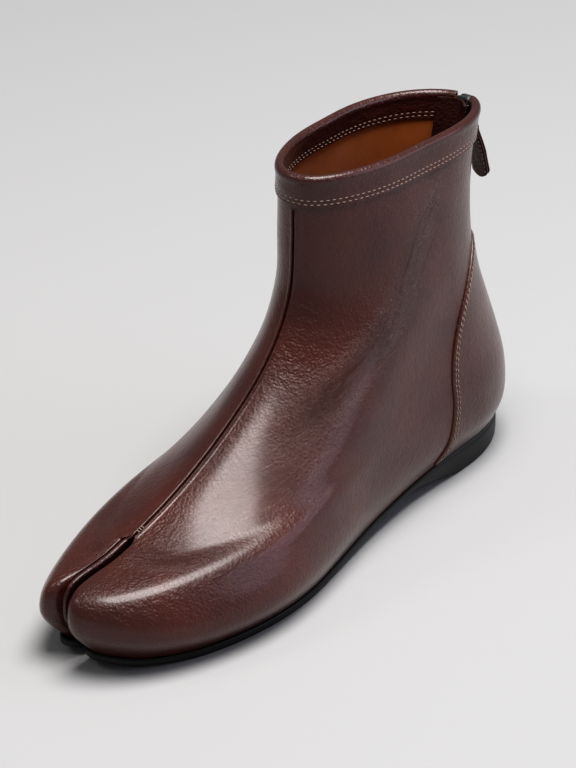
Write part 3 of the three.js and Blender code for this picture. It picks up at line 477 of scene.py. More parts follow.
def calf_leather(name, shade, deep, creased=False):
    """Aniline-dyed, polished calf leather: a dark, slightly mottled dye under a soft wax gloss that
    the fine pebble of the hide breaks up. The dye's clouds are about 26 mm across, the swell of the
    skin 3 mm, the pebble 1.05 mm and its pores 0.4 mm. creased adds the thin wrinkles of worn
    places, 7 by 1.6 mm, which the mesh marks in its wrinkle attribute."""
    material, tree, place = blank_material(name)
    mottle = add(tree, "ShaderNodeTexNoise", {
        "Vector": place, "Scale": 38.0, "Detail": 4.0, "Roughness": 0.55})
    tone = add(tree, "ShaderNodeValToRGB", {0: mottle.outputs["Fac"]})
    tone.color_ramp.elements[0].position = 0.32
    tone.color_ramp.elements[0].color = linear(deep)
    tone.color_ramp.elements[1].position = 0.72
    tone.color_ramp.elements[1].color = linear(shade)
    warp = add(tree, "ShaderNodeTexNoise", {"Vector": place, "Scale": 160.0, "Detail": 2.0})
    bent = add(tree, "ShaderNodeVectorMath", {0: warp.outputs["Color"], 1: (0.0016, 0.0016, 0.0016)},
               operation="MULTIPLY")
    moved = add(tree, "ShaderNodeVectorMath", {0: place, 1: bent.outputs[0]}, operation="ADD")
    pebble = add(tree, "ShaderNodeTexVoronoi", {
        "Vector": moved.outputs[0], "Scale": 950.0, "Randomness": 1.0}, feature="SMOOTH_F1")
    pores = add(tree, "ShaderNodeTexNoise", {"Vector": place, "Scale": 2600.0, "Detail": 2.0})
    swell = add(tree, "ShaderNodeTexNoise", {
        "Vector": place, "Scale": 330.0, "Detail": 3.0, "Roughness": 0.6})
    grain = add(tree, "ShaderNodeMath", {0: pebble.outputs["Distance"], 1: 0.55}, operation="MULTIPLY")
    grain = add(tree, "ShaderNodeMath", {0: swell.outputs["Fac"], 1: 0.9, 2: grain.outputs[0]},
                operation="MULTIPLY_ADD")
    grain = add(tree, "ShaderNodeMath", {0: pores.outputs["Fac"], 1: 0.18, 2: grain.outputs[0]},
                operation="MULTIPLY_ADD")
    bump = add(tree, "ShaderNodeBump", {"Height": grain.outputs[0], "Strength": 0.70, "Distance": 0.0008})
    if creased:
        mark = add(tree, "ShaderNodeAttribute", attribute_name="wrinkle")
        around = add(tree, "ShaderNodeUVMap", uv_map="UVMap")
        drawn = add(tree, "ShaderNodeMapping", {"Vector": around.outputs["UV"], "Scale": (14.0, 62.0, 1.0)})
        fine = add(tree, "ShaderNodeTexNoise", {"Vector": drawn.outputs[0], "Scale": 1.0, "Detail": 5.0,
                                                "Roughness": 0.62, "Distortion": 1.1})
        ridge = add(tree, "ShaderNodeMath", {0: fine.outputs["Fac"], 1: 0.5}, operation="SUBTRACT")
        ridge = add(tree, "ShaderNodeMath", {0: ridge.outputs[0]}, operation="ABSOLUTE")
        ridge = add(tree, "ShaderNodeMath", {0: ridge.outputs[0], 1: mark.outputs["Fac"]},
                    operation="MULTIPLY")
        bump = add(tree, "ShaderNodeBump", {"Height": ridge.outputs[0], "Strength": 1.0, "Distance": 0.0034,
                                            "Normal": bump.outputs[0]})
    worn = add(tree, "ShaderNodeMapRange", {"Value": mottle.outputs["Fac"], "From Min": 0.3, "From Max": 0.7,
                                            "To Min": 0.42, "To Max": 0.31})
    return surfaced(material, {
        "Base Color": tone.outputs["Color"], "Roughness": worn.outputs[0], "Normal": bump.outputs[0],
        "IOR": 1.5, "Specular IOR Level": 0.45, "Coat Weight": 0.7, "Coat Roughness": 0.21, "Coat IOR": 1.45})


upper_leather = calf_leather("polished_calf", "#52251a", "#411b13", creased=True)

# Creases that walking and putting on leave, as soft troughs with a low ridge on each side: side,
# level, distance round from the middle of the back as a share of the half level, half length and
# width in millimetres, slant in degrees upwards to the front, then sag and depth in millimetres.
CREASES = {
    "shin_high": (1, 7.48, 0.50, 10, 1.5, -22, 1.0, 0.20),
    "shin_mid": (1, 7.20, 0.57, 12, 1.7, -26, 1.2, 0.24),
    "shin_low": (1, 6.98, 0.48, 9, 1.4, -18, 0.8, 0.18),
    "ankle_top": (1, 5.92, 0.80, 12, 1.6, -6, -1.4, 0.26),
    "ankle_mid": (1, 5.66, 0.72, 15, 1.8, 2, -1.8, 0.30),
    "ankle_low": (1, 5.40, 0.80, 12, 1.5, 6, -1.2, 0.24),
    "ankle_side": (1, 5.50, 0.58, 11, 1.6, 8, -1.0, 0.18),
    "inner_ankle": (-1, 5.75, 0.74, 14, 1.7, 2, -1.6, 0.28),
    "inner_ankle_low": (-1, 5.42, 0.70, 12, 1.6, 6, -1.2, 0.24),
    "inner_shin": (-1, 7.30, 0.52, 11, 1.5, -16, 1.0, 0.20),
}
# Patches of thin wrinkles: side, level, share, half length, half width, slant and strength.
WRINKLED = {
    "shin": (1, 7.25, 0.54, 26, 13, -24, 1.0),
    "ankle": (1, 5.65, 0.68, 34, 16, 0, 1.0),
    "vamp": (1, 4.00, 0.80, 26, 26, 0, 0.20),
    "toe_bend": (1, 2.90, 0.90, 12, 7, 0, 0.45),
    "inner_ankle": (-1, 5.60, 0.66, 32, 16, 0, 1.0),
    "inner_shin": (-1, 7.30, 0.50, 24, 12, -14, 0.9),
    "inner_toe": (-1, 2.90, 0.93, 14, 8, 0, 0.4),
}


def local_axes(around, high, v, spot):
    """Distances along and across a mark whose middle lies at a level and share of the half level,
    measured on the leather itself: around the level, and up the side."""
    _, at_level, share, *_, slant = spot
    row = np.abs(v - at_level).argmin()
    reach = around[row] / around[row, -1]
    col = np.abs(reach - share).argmin()
    s, h = around - around[row, col], high - high[row, col]
    q = np.radians(slant)
    return s * np.cos(q) + h * np.sin(q), h * np.cos(q) - s * np.sin(q)


def upper_quarter(name, side):
    """One quarter of the upper: the last's surface, pressed in by each crease by
    depth (1 - (b/width)^2) exp(-(b/width)^2), where b is the distance across it."""
    v = COLLAR_LEVEL * spaced(232, (CROTCH_LEVEL / COLLAR_LEVEL, 0.03, 1.6), (0.2, 0.06, 0.5))
    lengths = spaced(150, (0, 0.05, 1.0), (1, 0.08, 1.2))[:-1]
    steps = np.concatenate([np.linspace(0, 0.9, 31), [0.95, 1.0]])
    outside, around = upper_half(v, side, 0.0, lengths, steps)
    inside, _ = upper_half(v, side, -LEATHER, lengths, steps)
    high = arc_of(outside.swapaxes(0, 1)).T
    normal = side * np.cross(np.gradient(outside, axis=1), np.gradient(outside, axis=0))
    normal /= np.maximum(np.linalg.norm(normal, axis=-1, keepdims=True), 1e-9)
    press = np.zeros(around.shape)
    for spot_side, at, share, length, width, slant, bow, depth in CREASES.values():
        if spot_side == side:
            a, b = local_axes(around, high, v, (side, at, share, slant))
            b = (b + bow * (a / length) ** 2) / width
            press += depth * (1 - b ** 2) * np.exp(-b ** 2 - (a / length) ** 4)
    wrinkle = np.full(around.shape, 0.06)
    for spot_side, at, share, length, width, slant, strength in WRINKLED.values():
        if spot_side == side:
            a, b = local_axes(around, high, v, (side, at, share, slant))
            wrinkle += strength * np.exp(-(a / length) ** 2 - (b / width) ** 2)
    outside = outside - normal * press[..., None]
    uv = np.stack([side * around, high], axis=-1) / 100
    points, faces = sheet(to_part(outside), to_part(inside))
    piece = new_piece(name, points, faces, upper_leather, uv=np.concatenate([uv, uv]), merge=0.0005,
                      wrinkle=np.concatenate([wrinkle, 0 * wrinkle]))
    fitted(piece, "boot", "upper")
    return piece


upper_quarter("upper_outer_quarter", 1)
upper_quarter("upper_inner_quarter", -1)


# The lining: thin tan leather cemented inside the whole upper, matt and a little uneven.
def lining_leather(name, shade, deep, rough):
    """Vegetable-tanned lining leather: matt, with a tone in soft 22 mm clouds and a 0.7 mm nap."""
    material, tree, place = blank_material(name)
    cloud = add(tree, "ShaderNodeTexNoise", {"Vector": place, "Scale": 45.0, "Detail": 5.0, "Roughness": 0.6})
    tone = add(tree, "ShaderNodeValToRGB", {0: cloud.outputs["Fac"]})
    tone.color_ramp.elements[0].position = 0.3
    tone.color_ramp.elements[0].color = linear(deep)
    tone.color_ramp.elements[1].position = 0.7
    tone.color_ramp.elements[1].color = linear(shade)
    nap = add(tree, "ShaderNodeTexNoise", {"Vector": place, "Scale": 1500.0, "Detail": 3.0})
    bump = add(tree, "ShaderNodeBump", {"Height": nap.outputs["Fac"], "Strength": 0.25, "Distance": 0.0004})
    return surfaced(material, {
        "Base Color": tone.outputs["Color"], "Roughness": rough, "Normal": bump.outputs[0],
        "Sheen Weight": 0.15, "Sheen Roughness": 0.5})


tan_lining = lining_leather("tan_lining", "#b66b30", "#9e5823", 0.62)


def lining_piece():
    """The upper's own surface again, from the leather's inside to the wall's inside, once round."""
    v = COLLAR_LEVEL * spaced(90, (CROTCH_LEVEL / COLLAR_LEVEL, 0.03, 1.2),
                              (ZIP_FOOT_LEVEL / COLLAR_LEVEL, 0.02, 2))
    lengths = spaced(60, (0, 0.05, 1.0), (1, 0.08, 1.2))[:-1]
    steps = np.linspace(0, 1, 14)
    ring = []
    for offset in (-LEATHER - 0.05, -WALL):
        halves = [upper_half(v, side, offset, lengths, steps)[0] for side in (1, -1)]
        ring.append(to_part(np.concatenate([halves[0], halves[1][:, -2::-1]], axis=1)))
    open_from = int(np.searchsorted(v, ZIP_FOOT_LEVEL)) - 1
    return new_piece("lining", *sheet(*ring, open_from, open_from), tan_lining)


lining = lining_piece()
fitted(lining, "boot")


# Stitching: bonded thread, pale beige with a little sheen, in short sunk dashes from hole to hole.
def thread(name, shade):
    """Twisted polyester thread: a matt strand with a slight gloss and a fine diagonal twist, about
    0.35 mm a turn."""
    material, tree, place = blank_material(name)
    twist = add(tree, "ShaderNodeTexWave", {"Vector": place, "Scale": 900.0, "Distortion": 1.0},
                bands_direction="DIAGONAL")
    bump = add(tree, "ShaderNodeBump", {"Height": twist.outputs["Fac"], "Strength": 0.3, "Distance": 0.0002})
    return surfaced(material, {
        "Base Color": linear(shade), "Roughness": 0.55, "Normal": bump.outputs[0]})


beige_thread = thread("beige_thread", "#9a8377")
STITCH_PITCH = 2.4
STITCH_LENGTH = 1.75
THREAD = 0.24


def dashes(path, normal, pitch=STITCH_PITCH, length=STITCH_LENGTH, radius=THREAD):
    """Points and faces of a row of stitches along a path of points. Each is a six-sided spindle,
    thickest in its middle, whose line bows out of the leather and dips into it at both ends."""
    arc = arc_of(path[None])[0]
    count = max(int(arc[-1] // pitch), 1)
    middle = (np.arange(count) + 0.5) * arc[-1] / count
    at = lambda table, where: np.stack([np.interp(where, arc, table[:, k]) for k in range(3)], axis=-1)
    along = at(path, middle + 0.5) - at(path, middle - 0.5)
    along /= np.linalg.norm(along, axis=-1, keepdims=True)
    out = at(normal, middle)
    across = np.cross(along, out)
    across /= np.linalg.norm(across, axis=-1, keepdims=True)
    out = np.cross(across, along)
    t = np.linspace(-1, 1, 6)
    q = np.arange(6) * np.pi / 3
    thick = radius * np.sqrt(np.clip(1.02 - t ** 4, 0, 1))
    local = np.stack([
        np.broadcast_to((t * length / 2)[:, None], (6, 6)),
        thick[:, None] * np.cos(q),
        thick[:, None] * np.sin(q) + (0.45 * radius - 1.1 * radius * t ** 2)[:, None],
    ], axis=-1)
    axes = np.stack([along, across, out], axis=1)
    points = at(path, middle)[:, None, None] + np.einsum("rsk,nkd->nrsd", local, axes)
    ring = np.arange(6)
    quads = [np.stack([r * 6 + ring, r * 6 + np.roll(ring, -1), (r + 1) * 6 + np.roll(ring, -1),
                       (r + 1) * 6 + ring], axis=-1) for r in range(5)]
    body = np.concatenate(quads)
    ends = np.array([[0, 1, 2, 3], [0, 3, 4, 5], [33, 32, 31, 30], [35, 34, 33, 30]])
    one = np.concatenate([body, ends])
    faces = (one[None] + 36 * np.arange(count)[:, None, None]).reshape(-1, 4)
    return points.reshape(-1, 3), faces


def joined(parts):
    """One list of points and one of faces from several."""
    start = np.cumsum([0] + [len(points) for points, _ in parts[:-1]])
    return (np.concatenate([points for points, _ in parts]),
            np.concatenate([faces + first for (_, faces), first in zip(parts, start)]))


def skin_row(v, c, offset):
    """Points and outward normals of a line on the last's surface, one level and turn for each."""
    place, above = to_part(skin_at(v, c, offset)[0]), to_part(skin_at(v, c, offset + 1.0)[0])
    return place, above - place


# The heel counter: a second layer of the same leather round the heel, its edge skived thin and
# turned, sewn down with two rows of stitches. It is notched for the foot of the zip.
COUNTER_THICK = 0.9
COUNTER_TOP_LEVEL = level_at_back(0.645 * HEIGHT)
COUNTER_FOOT = 0.313 * LENGTH
COUNTER_BASE_LEVEL = 0.15
COUNTER_SLANT = 0.16
COUNTER_SWEEP = 0.62
COUNTER_ROWS = (1.5, 3.1)
COUNTER_THREAD_OUT = 1.05


def counter_reach(v):
    """Distance of the counter's free edge from the middle of the back, at level v."""
    t = (v - COUNTER_BASE_LEVEL) / (COUNTER_TOP_LEVEL - COUNTER_BASE_LEVEL)
    return COUNTER_FOOT * (1 - COUNTER_SLANT * t - COUNTER_SWEEP * t ** 3)


def counter_side(side):
    """One side of the counter. Its thickness rounds off over the last millimetre, and below the
    zip it meets the other side in the middle of the back."""
    below = np.linspace(COUNTER_BASE_LEVEL, ZIP_FOOT_LEVEL, 42)
    above = np.linspace(ZIP_FOOT_LEVEL + 0.05, COUNTER_TOP_LEVEL, 30)
    v = np.concatenate([below, above])
    run = np.clip((v - ZIP_FOOT_LEVEL) / SLIT_RUN, 0, 1)
    notch = (SLIT_HALF * np.sin(run * np.pi / 2))[:, None]
    reach = counter_reach(v)[:, None]
    share = spaced(46, (1, 0.04, 6.0))
    distance = mix(notch, reach, share)
    c = turn_of(v, side, distance)
    edge = np.clip((reach - distance) / 1.2, 0, 1)
    top = np.clip((COUNTER_TOP_LEVEL - v) / 0.06, 0, 1)[:, None]
    thick = COUNTER_THICK * np.sqrt(1 - (1 - np.minimum(edge, top)) ** 2) * 0.75 + 0.22
    return sheet(to_part(skin(v, c, 0.06 + thick)), to_part(skin(v, c, 0.06)), first_from=len(below) - 1)


counter_leather = calf_leather("counter_calf", "#50261d", "#411e16")
counter = new_piece("heel_counter_leather", *joined([counter_side(side) for side in (1, -1)]),
                    counter_leather)
fitted(counter, "boot", "heel_counter")

counter_rows = []
for side in (1, -1):
    for inset in COUNTER_ROWS:
        v = np.linspace(COUNTER_BASE_LEVEL + 0.1, COUNTER_TOP_LEVEL - 0.12, 120)
        c = turn_of(v, side, (counter_reach(v) - inset)[:, None])[:, 0]
        counter_rows.append(dashes(*skin_row(v, np.mod(c, 2), COUNTER_THREAD_OUT)))
counter_stitches = new_piece("counter_stitches", *joined(counter_rows), beige_thread, sharp=80)
fitted(counter_stitches, "boot")

# The collar band: a strip of the same leather folded over the top edge and sewn through with two
# rows, so that it has a round bead at the rim. It stops at each side of the zip.
BAND_THICK = 0.9
BAND_OUTSIDE = 11.0
BAND_INSIDE = 10.0
BAND_END = 5.0
BEAD = 2.1
BAND_ROWS_OUTSIDE = (8.2, 9.9)
BAND_ROWS_INSIDE = (7.4, 9.0)
BAND_THREAD_OUT = 0.82
BAND_PITCH = 2.6


def down_from_collar(c, drop):
    """Level that lies a distance down the surface from the collar, at each turn c."""
    low, top = last_point(np.array([COLLAR_LEVEL - 0.5, COLLAR_LEVEL]), c)
    return COLLAR_LEVEL - drop * 0.5 / np.linalg.norm(top - low, axis=-1)


def band_path(thick):
    """Section of the band as (offset from the wall's middle, rise above the collar level): up the
    outside flap, round the bead and down the inside flap, thick outside the wall's middle."""
    flap = np.array([BAND_OUTSIDE, 10.9, 10.6, 10.2, 9.9, 9.5, 9.05, 8.6, 8.2, 7.8, 7.2, 6, 5, 4, 3,
                     2.2, 1.5, 0.9, 0.4])
    q = np.linspace(0, np.pi, 17)
    bead = BEAD - BAND_THICK + thick
    side = lambda drop, rows: (WALL / 2 + 0.05 + thick
                               - (0.16 * thick * sum(np.exp(-((drop - row) / 0.45) ** 2) for row in rows))
                               + (bead - WALL / 2 - thick) * np.exp(-(drop / 1.6) ** 2))
    inside = flap[::-1] * BAND_INSIDE / BAND_OUTSIDE
    offset = np.concatenate([
        side(flap, BAND_ROWS_OUTSIDE), bead * np.cos(q), -side(inside, BAND_ROWS_INSIDE)])
    rise = np.concatenate([-flap, bead * np.sin(q), -inside])
    return offset, rise


def band_grid(thick):
    """The band's section carried round the collar."""
    ends = [turn_of(np.array([float(COLLAR_LEVEL)]), side, BAND_END)[0, 0] for side in (1, -1)]
    c = mix(ends[0], 2 + ends[1], spaced(300, (0, 0.05, 1), (0.5, 0.06, 1.5), (1, 0.05, 1)))
    offset, rise = (values[:, None] for values in band_path(thick))
    return skin_at(down_from_collar(c, np.maximum(-rise, 0)), c, offset - WALL / 2, np.maximum(rise, 0))


band_leather = calf_leather("band_calf", "#4e2720", "#3d1e18")
band = new_piece("collar_band_leather", *sheet(*[to_part(band_grid(thick)) for thick in (BAND_THICK, 0.0)]),
                 band_leather)
fitted(band, "boot", "collar_band")

band_rows = []
band_turns = np.linspace(0.03, 1.97, 500)
for drop in BAND_ROWS_OUTSIDE:
    place, normal = skin_row(down_from_collar(band_turns, drop), band_turns, BAND_THREAD_OUT)
    band_rows.append(dashes(place, normal, pitch=BAND_PITCH))
for drop in BAND_ROWS_INSIDE:
    place, normal = skin_row(down_from_collar(band_turns, drop), band_turns, -WALL - BAND_THREAD_OUT)
    band_rows.append(dashes(place, -normal, pitch=BAND_PITCH))
band_stitches = new_piece("collar_stitches", *joined(band_rows), beige_thread, sharp=80)
fitted(band_stitches, "boot")

# The welt between the toes: a narrow rolled strip of the same leather along the inner toe's edge of
# the cleft, with a small bar of thread where the cleft ends.
WELT_HALF = 1.15
WELT_DEEP = 3.6
WELT_SUNK = 1.3
BAR_HALF = 1.3


def welt_shape():
    """A rounded strip carried along the wall top of the inner toe. Its section is
    (half width cos q, sin q), deepened below the middle, and it narrows as the cleft closes."""
    v = np.linspace(0.1, CROTCH_LEVEL - 0.03, 120)
    edge = upper_half(v, -1, 0.0, np.array([0.5]), np.array([0.43]))[0][:, 1]
    open_ = smooth((level(v)["front"] - CROTCH) / CLEFT_RUN_OUT)
    along = np.gradient(edge[:, 1:], axis=0)
    along /= np.linalg.norm(along, axis=-1, keepdims=True)
    out = np.stack([along[:, 1], -along[:, 0]], axis=-1)
    q = np.linspace(0, 2 * np.pi, 25)[:-1]
    dx = WELT_HALF * np.sign(np.cos(q)) * np.abs(np.cos(q)) ** 0.7
    dn = np.where(np.sin(q) > 0, WELT_HALF * np.sin(q), WELT_DEEP * np.sin(q)) - WELT_SUNK
    size = open_[:, None]
    centre = edge[:, :1] + (WELT_HALF + 0.12) * open_[:, None]
    ring = np.stack([centre + size * dx, edge[:, 1:2] + out[:, :1] * dn * size,
                     edge[:, 2:] + out[:, 1:] * dn * size], axis=-1)
    ring = np.concatenate([ring, ring[:, :1]], axis=1)
    return to_part(ring).reshape(-1, 3), grid_faces(*ring.shape[:2])


welt = new_piece("toe_welt", *welt_shape(), band_leather, sharp=60)
fitted(welt, "boot")


def crotch_bar():
    """Three stitches laid across the end of the cleft, a little above the leather."""
    spots = []
    normal = to_part(skin(np.array([CROTCH_LEVEL]), np.array([1.0]), 1.0)
                     - skin(np.array([CROTCH_LEVEL]), np.array([1.0])))[0, 0] + [0, -HEEL_CENTRE, 0]
    for step in (-0.02, 0.02, 0.06):
        middle = to_part(last_point(np.array([CROTCH_LEVEL + step]), np.array([1.0])))[0, 0] + 0.55 * normal
        path = middle + np.linspace(-BAR_HALF, BAR_HALF, 9)[:, None] * [1, 0, 0]
        spots.append(dashes(path, np.broadcast_to(normal, path.shape), pitch=2.5, length=2.4, radius=0.3))
    return joined(spots)


bar = new_piece("cleft_bar", *crotch_bar(), beige_thread, sharp=80)
fitted(bar, "boot")

# The zip: two woven tapes sewn behind the slit, moulded metal teeth, a bottom stop, a leather guard
# behind it, and a metal slider at its top.
ZIP_TOP_LEVEL = level_at_back(LEVELS["back_up"][COLLAR_LEVEL] - 2.5)
TAPE_OUTER = -WALL - 0.4
TAPE_INNER = TAPE_OUTER - 0.6
TAPE_WIDTH = 11.0
GUARD_OUTER = -4.8
GUARD_HALF = 12.0


def strip(v, near, far, outer, inner, columns=9):
    """A strip on the back of the shaft, from one distance from its middle to another."""
    distance = mix(near, far, np.linspace(0, 1, columns))
    c = turn_of(v, 1, np.broadcast_to(distance, (len(v), columns)))
    return sheet(to_part(skin(v, c, outer)), to_part(skin(v, c, inner)))


def woven(name, shade, deep):
    """Polyester zip tape: fine rows of dark threads 0.75 mm apart, matt."""
    material, tree, place = blank_material(name)
    rows = add(tree, "ShaderNodeTexWave", {"Vector": place, "Scale": 420.0, "Distortion": 0.6},
               bands_direction="Z")
    rough = add(tree, "ShaderNodeTexNoise", {"Vector": place, "Scale": 1800.0, "Detail": 2.0})
    tone = add(tree, "ShaderNodeMix", {0: rows.outputs["Fac"], 6: linear(deep), 7: linear(shade)},
               data_type="RGBA")
    height = add(tree, "ShaderNodeMath", {0: rows.outputs["Fac"], 1: rough.outputs["Fac"]}, operation="ADD")
    bump = add(tree, "ShaderNodeBump", {"Height": height.outputs[0], "Strength": 0.5, "Distance": 0.0003})
    return surfaced(material, {
        "Base Color": tone.outputs[2], "Roughness": 0.85, "Normal": bump.outputs[0]})


def gunmetal(name, shade, rough):
    """Gunmetal-plated zinc: dark grey metal, rubbed by use into slightly duller 1.4 mm patches."""
    material, tree, place = blank_material(name)
    cloud = add(tree, "ShaderNodeTexNoise", {"Vector": place, "Scale": 700.0, "Detail": 4.0})
    dull = add(tree, "ShaderNodeMapRange", {"Value": cloud.outputs["Fac"], "To Min": rough - 0.08,
                                            "To Max": rough + 0.12})
    return surfaced(material, {
        "Base Color": linear(shade), "Metallic": 1.0, "Roughness": dull.outputs[0]})


zip_fabric = woven("zip_tape_weave", "#34211d", "#1f1412")
zip_metal = gunmetal("gunmetal", "#7d8079", 0.32)

for node, side in (("zip_tape_outer", 1), ("zip_tape_inner", -1)):
    v = np.linspace(ZIP_FOOT_LEVEL - 0.1, ZIP_TOP_LEVEL, 60)
    wide = np.where(v < down_from_collar(np.array([0.0]), BAND_INSIDE + 1.5)[0], TAPE_WIDTH, SLIT_HALF - 0.15)
    tape = new_piece(node + "_weave", *strip(v, side * 0.15, side * wide[:, None], TAPE_OUTER, TAPE_INNER),
                     zip_fabric)
    fitted(tape, "boot", node)

TOOTH_PITCH = 0.68


def teeth():
    """Rounded blocks up both tapes' edges, turn about left and right. Each is a superellipsoid
    whose rings follow (cos u cos w, cos u sin w, sin u) raised to a small power."""
    v = np.linspace(ZIP_FOOT_LEVEL + SLIT_RUN * 1.6, ZIP_TOP_LEVEL, 200)
    line = to_part(skin(v, np.array([0.0]), -0.8))[:, 0]
    arc = arc_of(line[None])[0]
    count = int(arc[-1] / TOOTH_PITCH)
    where = (np.arange(count) + 0.5) * arc[-1] / count
    at = np.stack([np.interp(where, arc, line[:, k]) for k in range(3)], axis=-1)
    up = np.stack([np.interp(where, arc, np.gradient(line[:, k], arc)) for k in range(3)], axis=-1)
    up /= np.linalg.norm(up, axis=-1, keepdims=True)
    out = np.cross(up, [-1.0, 0, 0])
    power = lambda s: np.sign(s) * np.abs(s) ** 0.45
    u, w = np.linspace(-np.pi / 2, np.pi / 2, 7), np.linspace(0, 2 * np.pi, 13)
    x = 1.45 * power(np.cos(u))[:, None] * power(np.cos(w))
    z = 0.3 * power(np.cos(u))[:, None] * power(np.sin(w))
    y = 0.8 * power(np.sin(u))[:, None] * np.ones(13)
    aside = np.where(np.arange(count) % 2, 0.72, -0.72)[:, None, None]
    points = at[:, None, None] + (x + aside)[..., None] * [1, 0, 0] + y[..., None] * out[:, None, None]
    points = points + z[..., None] * up[:, None, None]
    faces = grid_faces(7, 13)
    faces = (faces[None] + 91 * np.arange(count)[:, None, None]).reshape(-1, 4)
    return points.reshape(-1, 3), faces


chain = new_piece("zip_teeth", *teeth(), zip_metal, sharp=50)
fitted(chain, "boot", "zip_chain")

guard_leather = calf_leather("guard_calf", "#43221c", "#311612")
v = np.linspace(ZIP_FOOT_LEVEL - 0.3, COLLAR_LEVEL, 60)
guard = new_piece("zip_guard_leather", *strip(v, -GUARD_HALF, GUARD_HALF, GUARD_OUTER, GUARD_OUTER - 1.0, 31),
                  guard_leather)
fitted(guard, "boot", "zip_guard")


def rounded_copy(node, radius, material, body):
    """Copy of a CAD solid with its corners joined, its flat faces cleaned and its edges rounded."""
    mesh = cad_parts[node].data.copy()
    mesh.transform(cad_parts[node].matrix_world)
    work = bmesh.new()
    work.from_mesh(mesh)
    bmesh.ops.remove_doubles(work, verts=work.verts, dist=2e-6)
    bmesh.ops.dissolve_limit(work, angle_limit=np.radians(1), verts=work.verts, edges=work.edges)
    crisp = [edge for edge in work.edges if edge.is_manifold and edge.calc_face_angle() > np.radians(35)]
    bmesh.ops.bevel(work, geom=crisp, offset=radius * MM, segments=3, profile=0.5, affect="EDGES",
                    clamp_overlap=True)
    bmesh.ops.triangulate(work, faces=[face for face in work.faces if len(face.verts) > 4])
    bmesh.ops.recalc_face_normals(work, faces=work.faces)
    work.to_mesh(mesh)
    work.free()
    mesh.polygons.foreach_set("use_smooth", np.ones(len(mesh.polygons), bool))
    mesh.set_sharp_from_angle(angle=np.radians(30))
    mesh.materials.clear()
    mesh.materials.append(material)
    piece = bpy.data.objects.new(node + "_metal", mesh)
    bpy.context.scene.collection.objects.link(piece)
    fitted(piece, body, node)
    return piece


rounded_copy("zip_stop", 0.18, zip_metal, "boot")
rounded_copy("zip_slider", 0.22, zip_metal, "boot")
rounded_copy("zip_puller", 0.22, zip_metal, "pull")

# The pull tab: one strap of leather looped through the puller's slot, its two leaves sewn together
# along both edges. It stands out a little from hanging straight.
PIVOT = np.array([6.0508, 18.8793, 152.9489])
PULL_SWING = np.radians(16)
TAB_EYE = 8.6
TAB_RING = 1.7
TAB_LEAF = 0.95
TAB_LENGTH = 28.0
TAB_HALF = 4.0
TAB_NECK = (0, 1.5, 3.5, 9, 14, 30)
TAB_NECK_HALF = (1.5, 1.55, 2.2, 3.3, TAB_HALF, TAB_HALF)
LEAF_DOWN = (2.2, 3.4, 20, TAB_LENGTH)
LEAF_APART = (1.35, 0.55, 0.52, 0.85)


def hung(points):
    """Places of the tab, drawn hanging straight below the hinge, once it stands out by its swing."""
    x, y, z = np.moveaxis(points, -1, 0)
    turned = np.stack([x, y * np.cos(PULL_SWING) - z * np.sin(PULL_SWING),
                       y * np.sin(PULL_SWING) + z * np.cos(PULL_SWING)], axis=-1)
    return turned + PIVOT


def tab_half_width(down):
    """Half width at a distance below the eye: a loop, a neck that widens, and a round end."""
    left = np.clip(TAB_LENGTH - down, 0, TAB_HALF)
    end = np.sqrt(np.maximum(TAB_HALF ** 2 - (TAB_HALF - left) ** 2, 0))
    return np.minimum(np.interp(down, TAB_NECK, TAB_NECK_HALF), end)


def tab_shape():
    """The strap as a sheet along its own middle line: up one leaf, over the ring, down the other."""
    end = TAB_LENGTH - TAB_HALF * (1 - np.cos(np.linspace(0, np.pi / 2, 14)))
    down = np.concatenate([end, np.linspace(end[-1], LEAF_DOWN[0], 40)[1:]])
    leaf_y = np.interp(down, LEAF_DOWN, LEAF_APART)
    q = np.linspace(np.radians(-38), np.radians(218), 31)
    y = np.concatenate([leaf_y, TAB_RING * np.cos(q), -leaf_y[::-1]])
    z = np.concatenate([-down, TAB_RING * np.sin(q), -down[::-1]])
    wide = np.concatenate([tab_half_width(down), np.full(len(q), 1.5), tab_half_width(down[::-1])])
    step = np.stack([np.gradient(y), np.gradient(z)], axis=-1)
    step /= np.linalg.norm(step, axis=-1, keepdims=True)
    t = np.linspace(-1, 1, 17)
    edge = np.sqrt(np.clip(1 - np.abs(t) ** 8, 0, 1))
    grids = []
    for offset in (TAB_LEAF / 2, -TAB_LEAF / 2):
        push = offset * np.maximum(edge, 0.35)
        grids.append(np.stack([
            wide[:, None] * t,
            y[:, None] + step[:, 1:] * push,
            z[:, None] - step[:, :1] * push - TAB_EYE,
        ], axis=-1))
    return sheet(*[hung(grid) for grid in grids])


tab_leather = calf_leather("tab_calf", "#4a251a", "#331611")
tab = new_piece("pull_tab_leather", *tab_shape(), tab_leather)
fitted(tab, "pull", "pull_tab")

tab_rows = []
for face in (1, -1):
    for side in (1, -1):
        down = np.linspace(5.5, 25.5, 60)
        path = np.stack([side * (tab_half_width(down) - 1.0),
                         face * (np.interp(down, LEAF_DOWN, LEAF_APART) + 0.45),
                         -TAB_EYE - down], axis=-1)
        out = np.broadcast_to(hung(np.array([0.0, face, 0.0])) - PIVOT, path.shape)
        tab_rows.append(dashes(hung(path), out, pitch=2.2, length=1.6, radius=0.22))
tab_stitches = new_piece("pull_tab_stitches", *joined(tab_rows), beige_thread, sharp=80)
fitted(tab_stitches, "pull")


# The sole: one piece of black moulded rubber, thin under the forefoot, with a low wedge for a heel
# and a notch between the toes. Its side has a fine groove under the top edge.
SOLE_REACH = 0.6
SOLE_GAP = {1: 1.2, -1: 1.2}
INSOLE_GAP = {1: 3.8, -1: 6.4}
FEATHER_LIPS = (LEVELS["lip_side"][0], LEVELS["lip_in"][0])


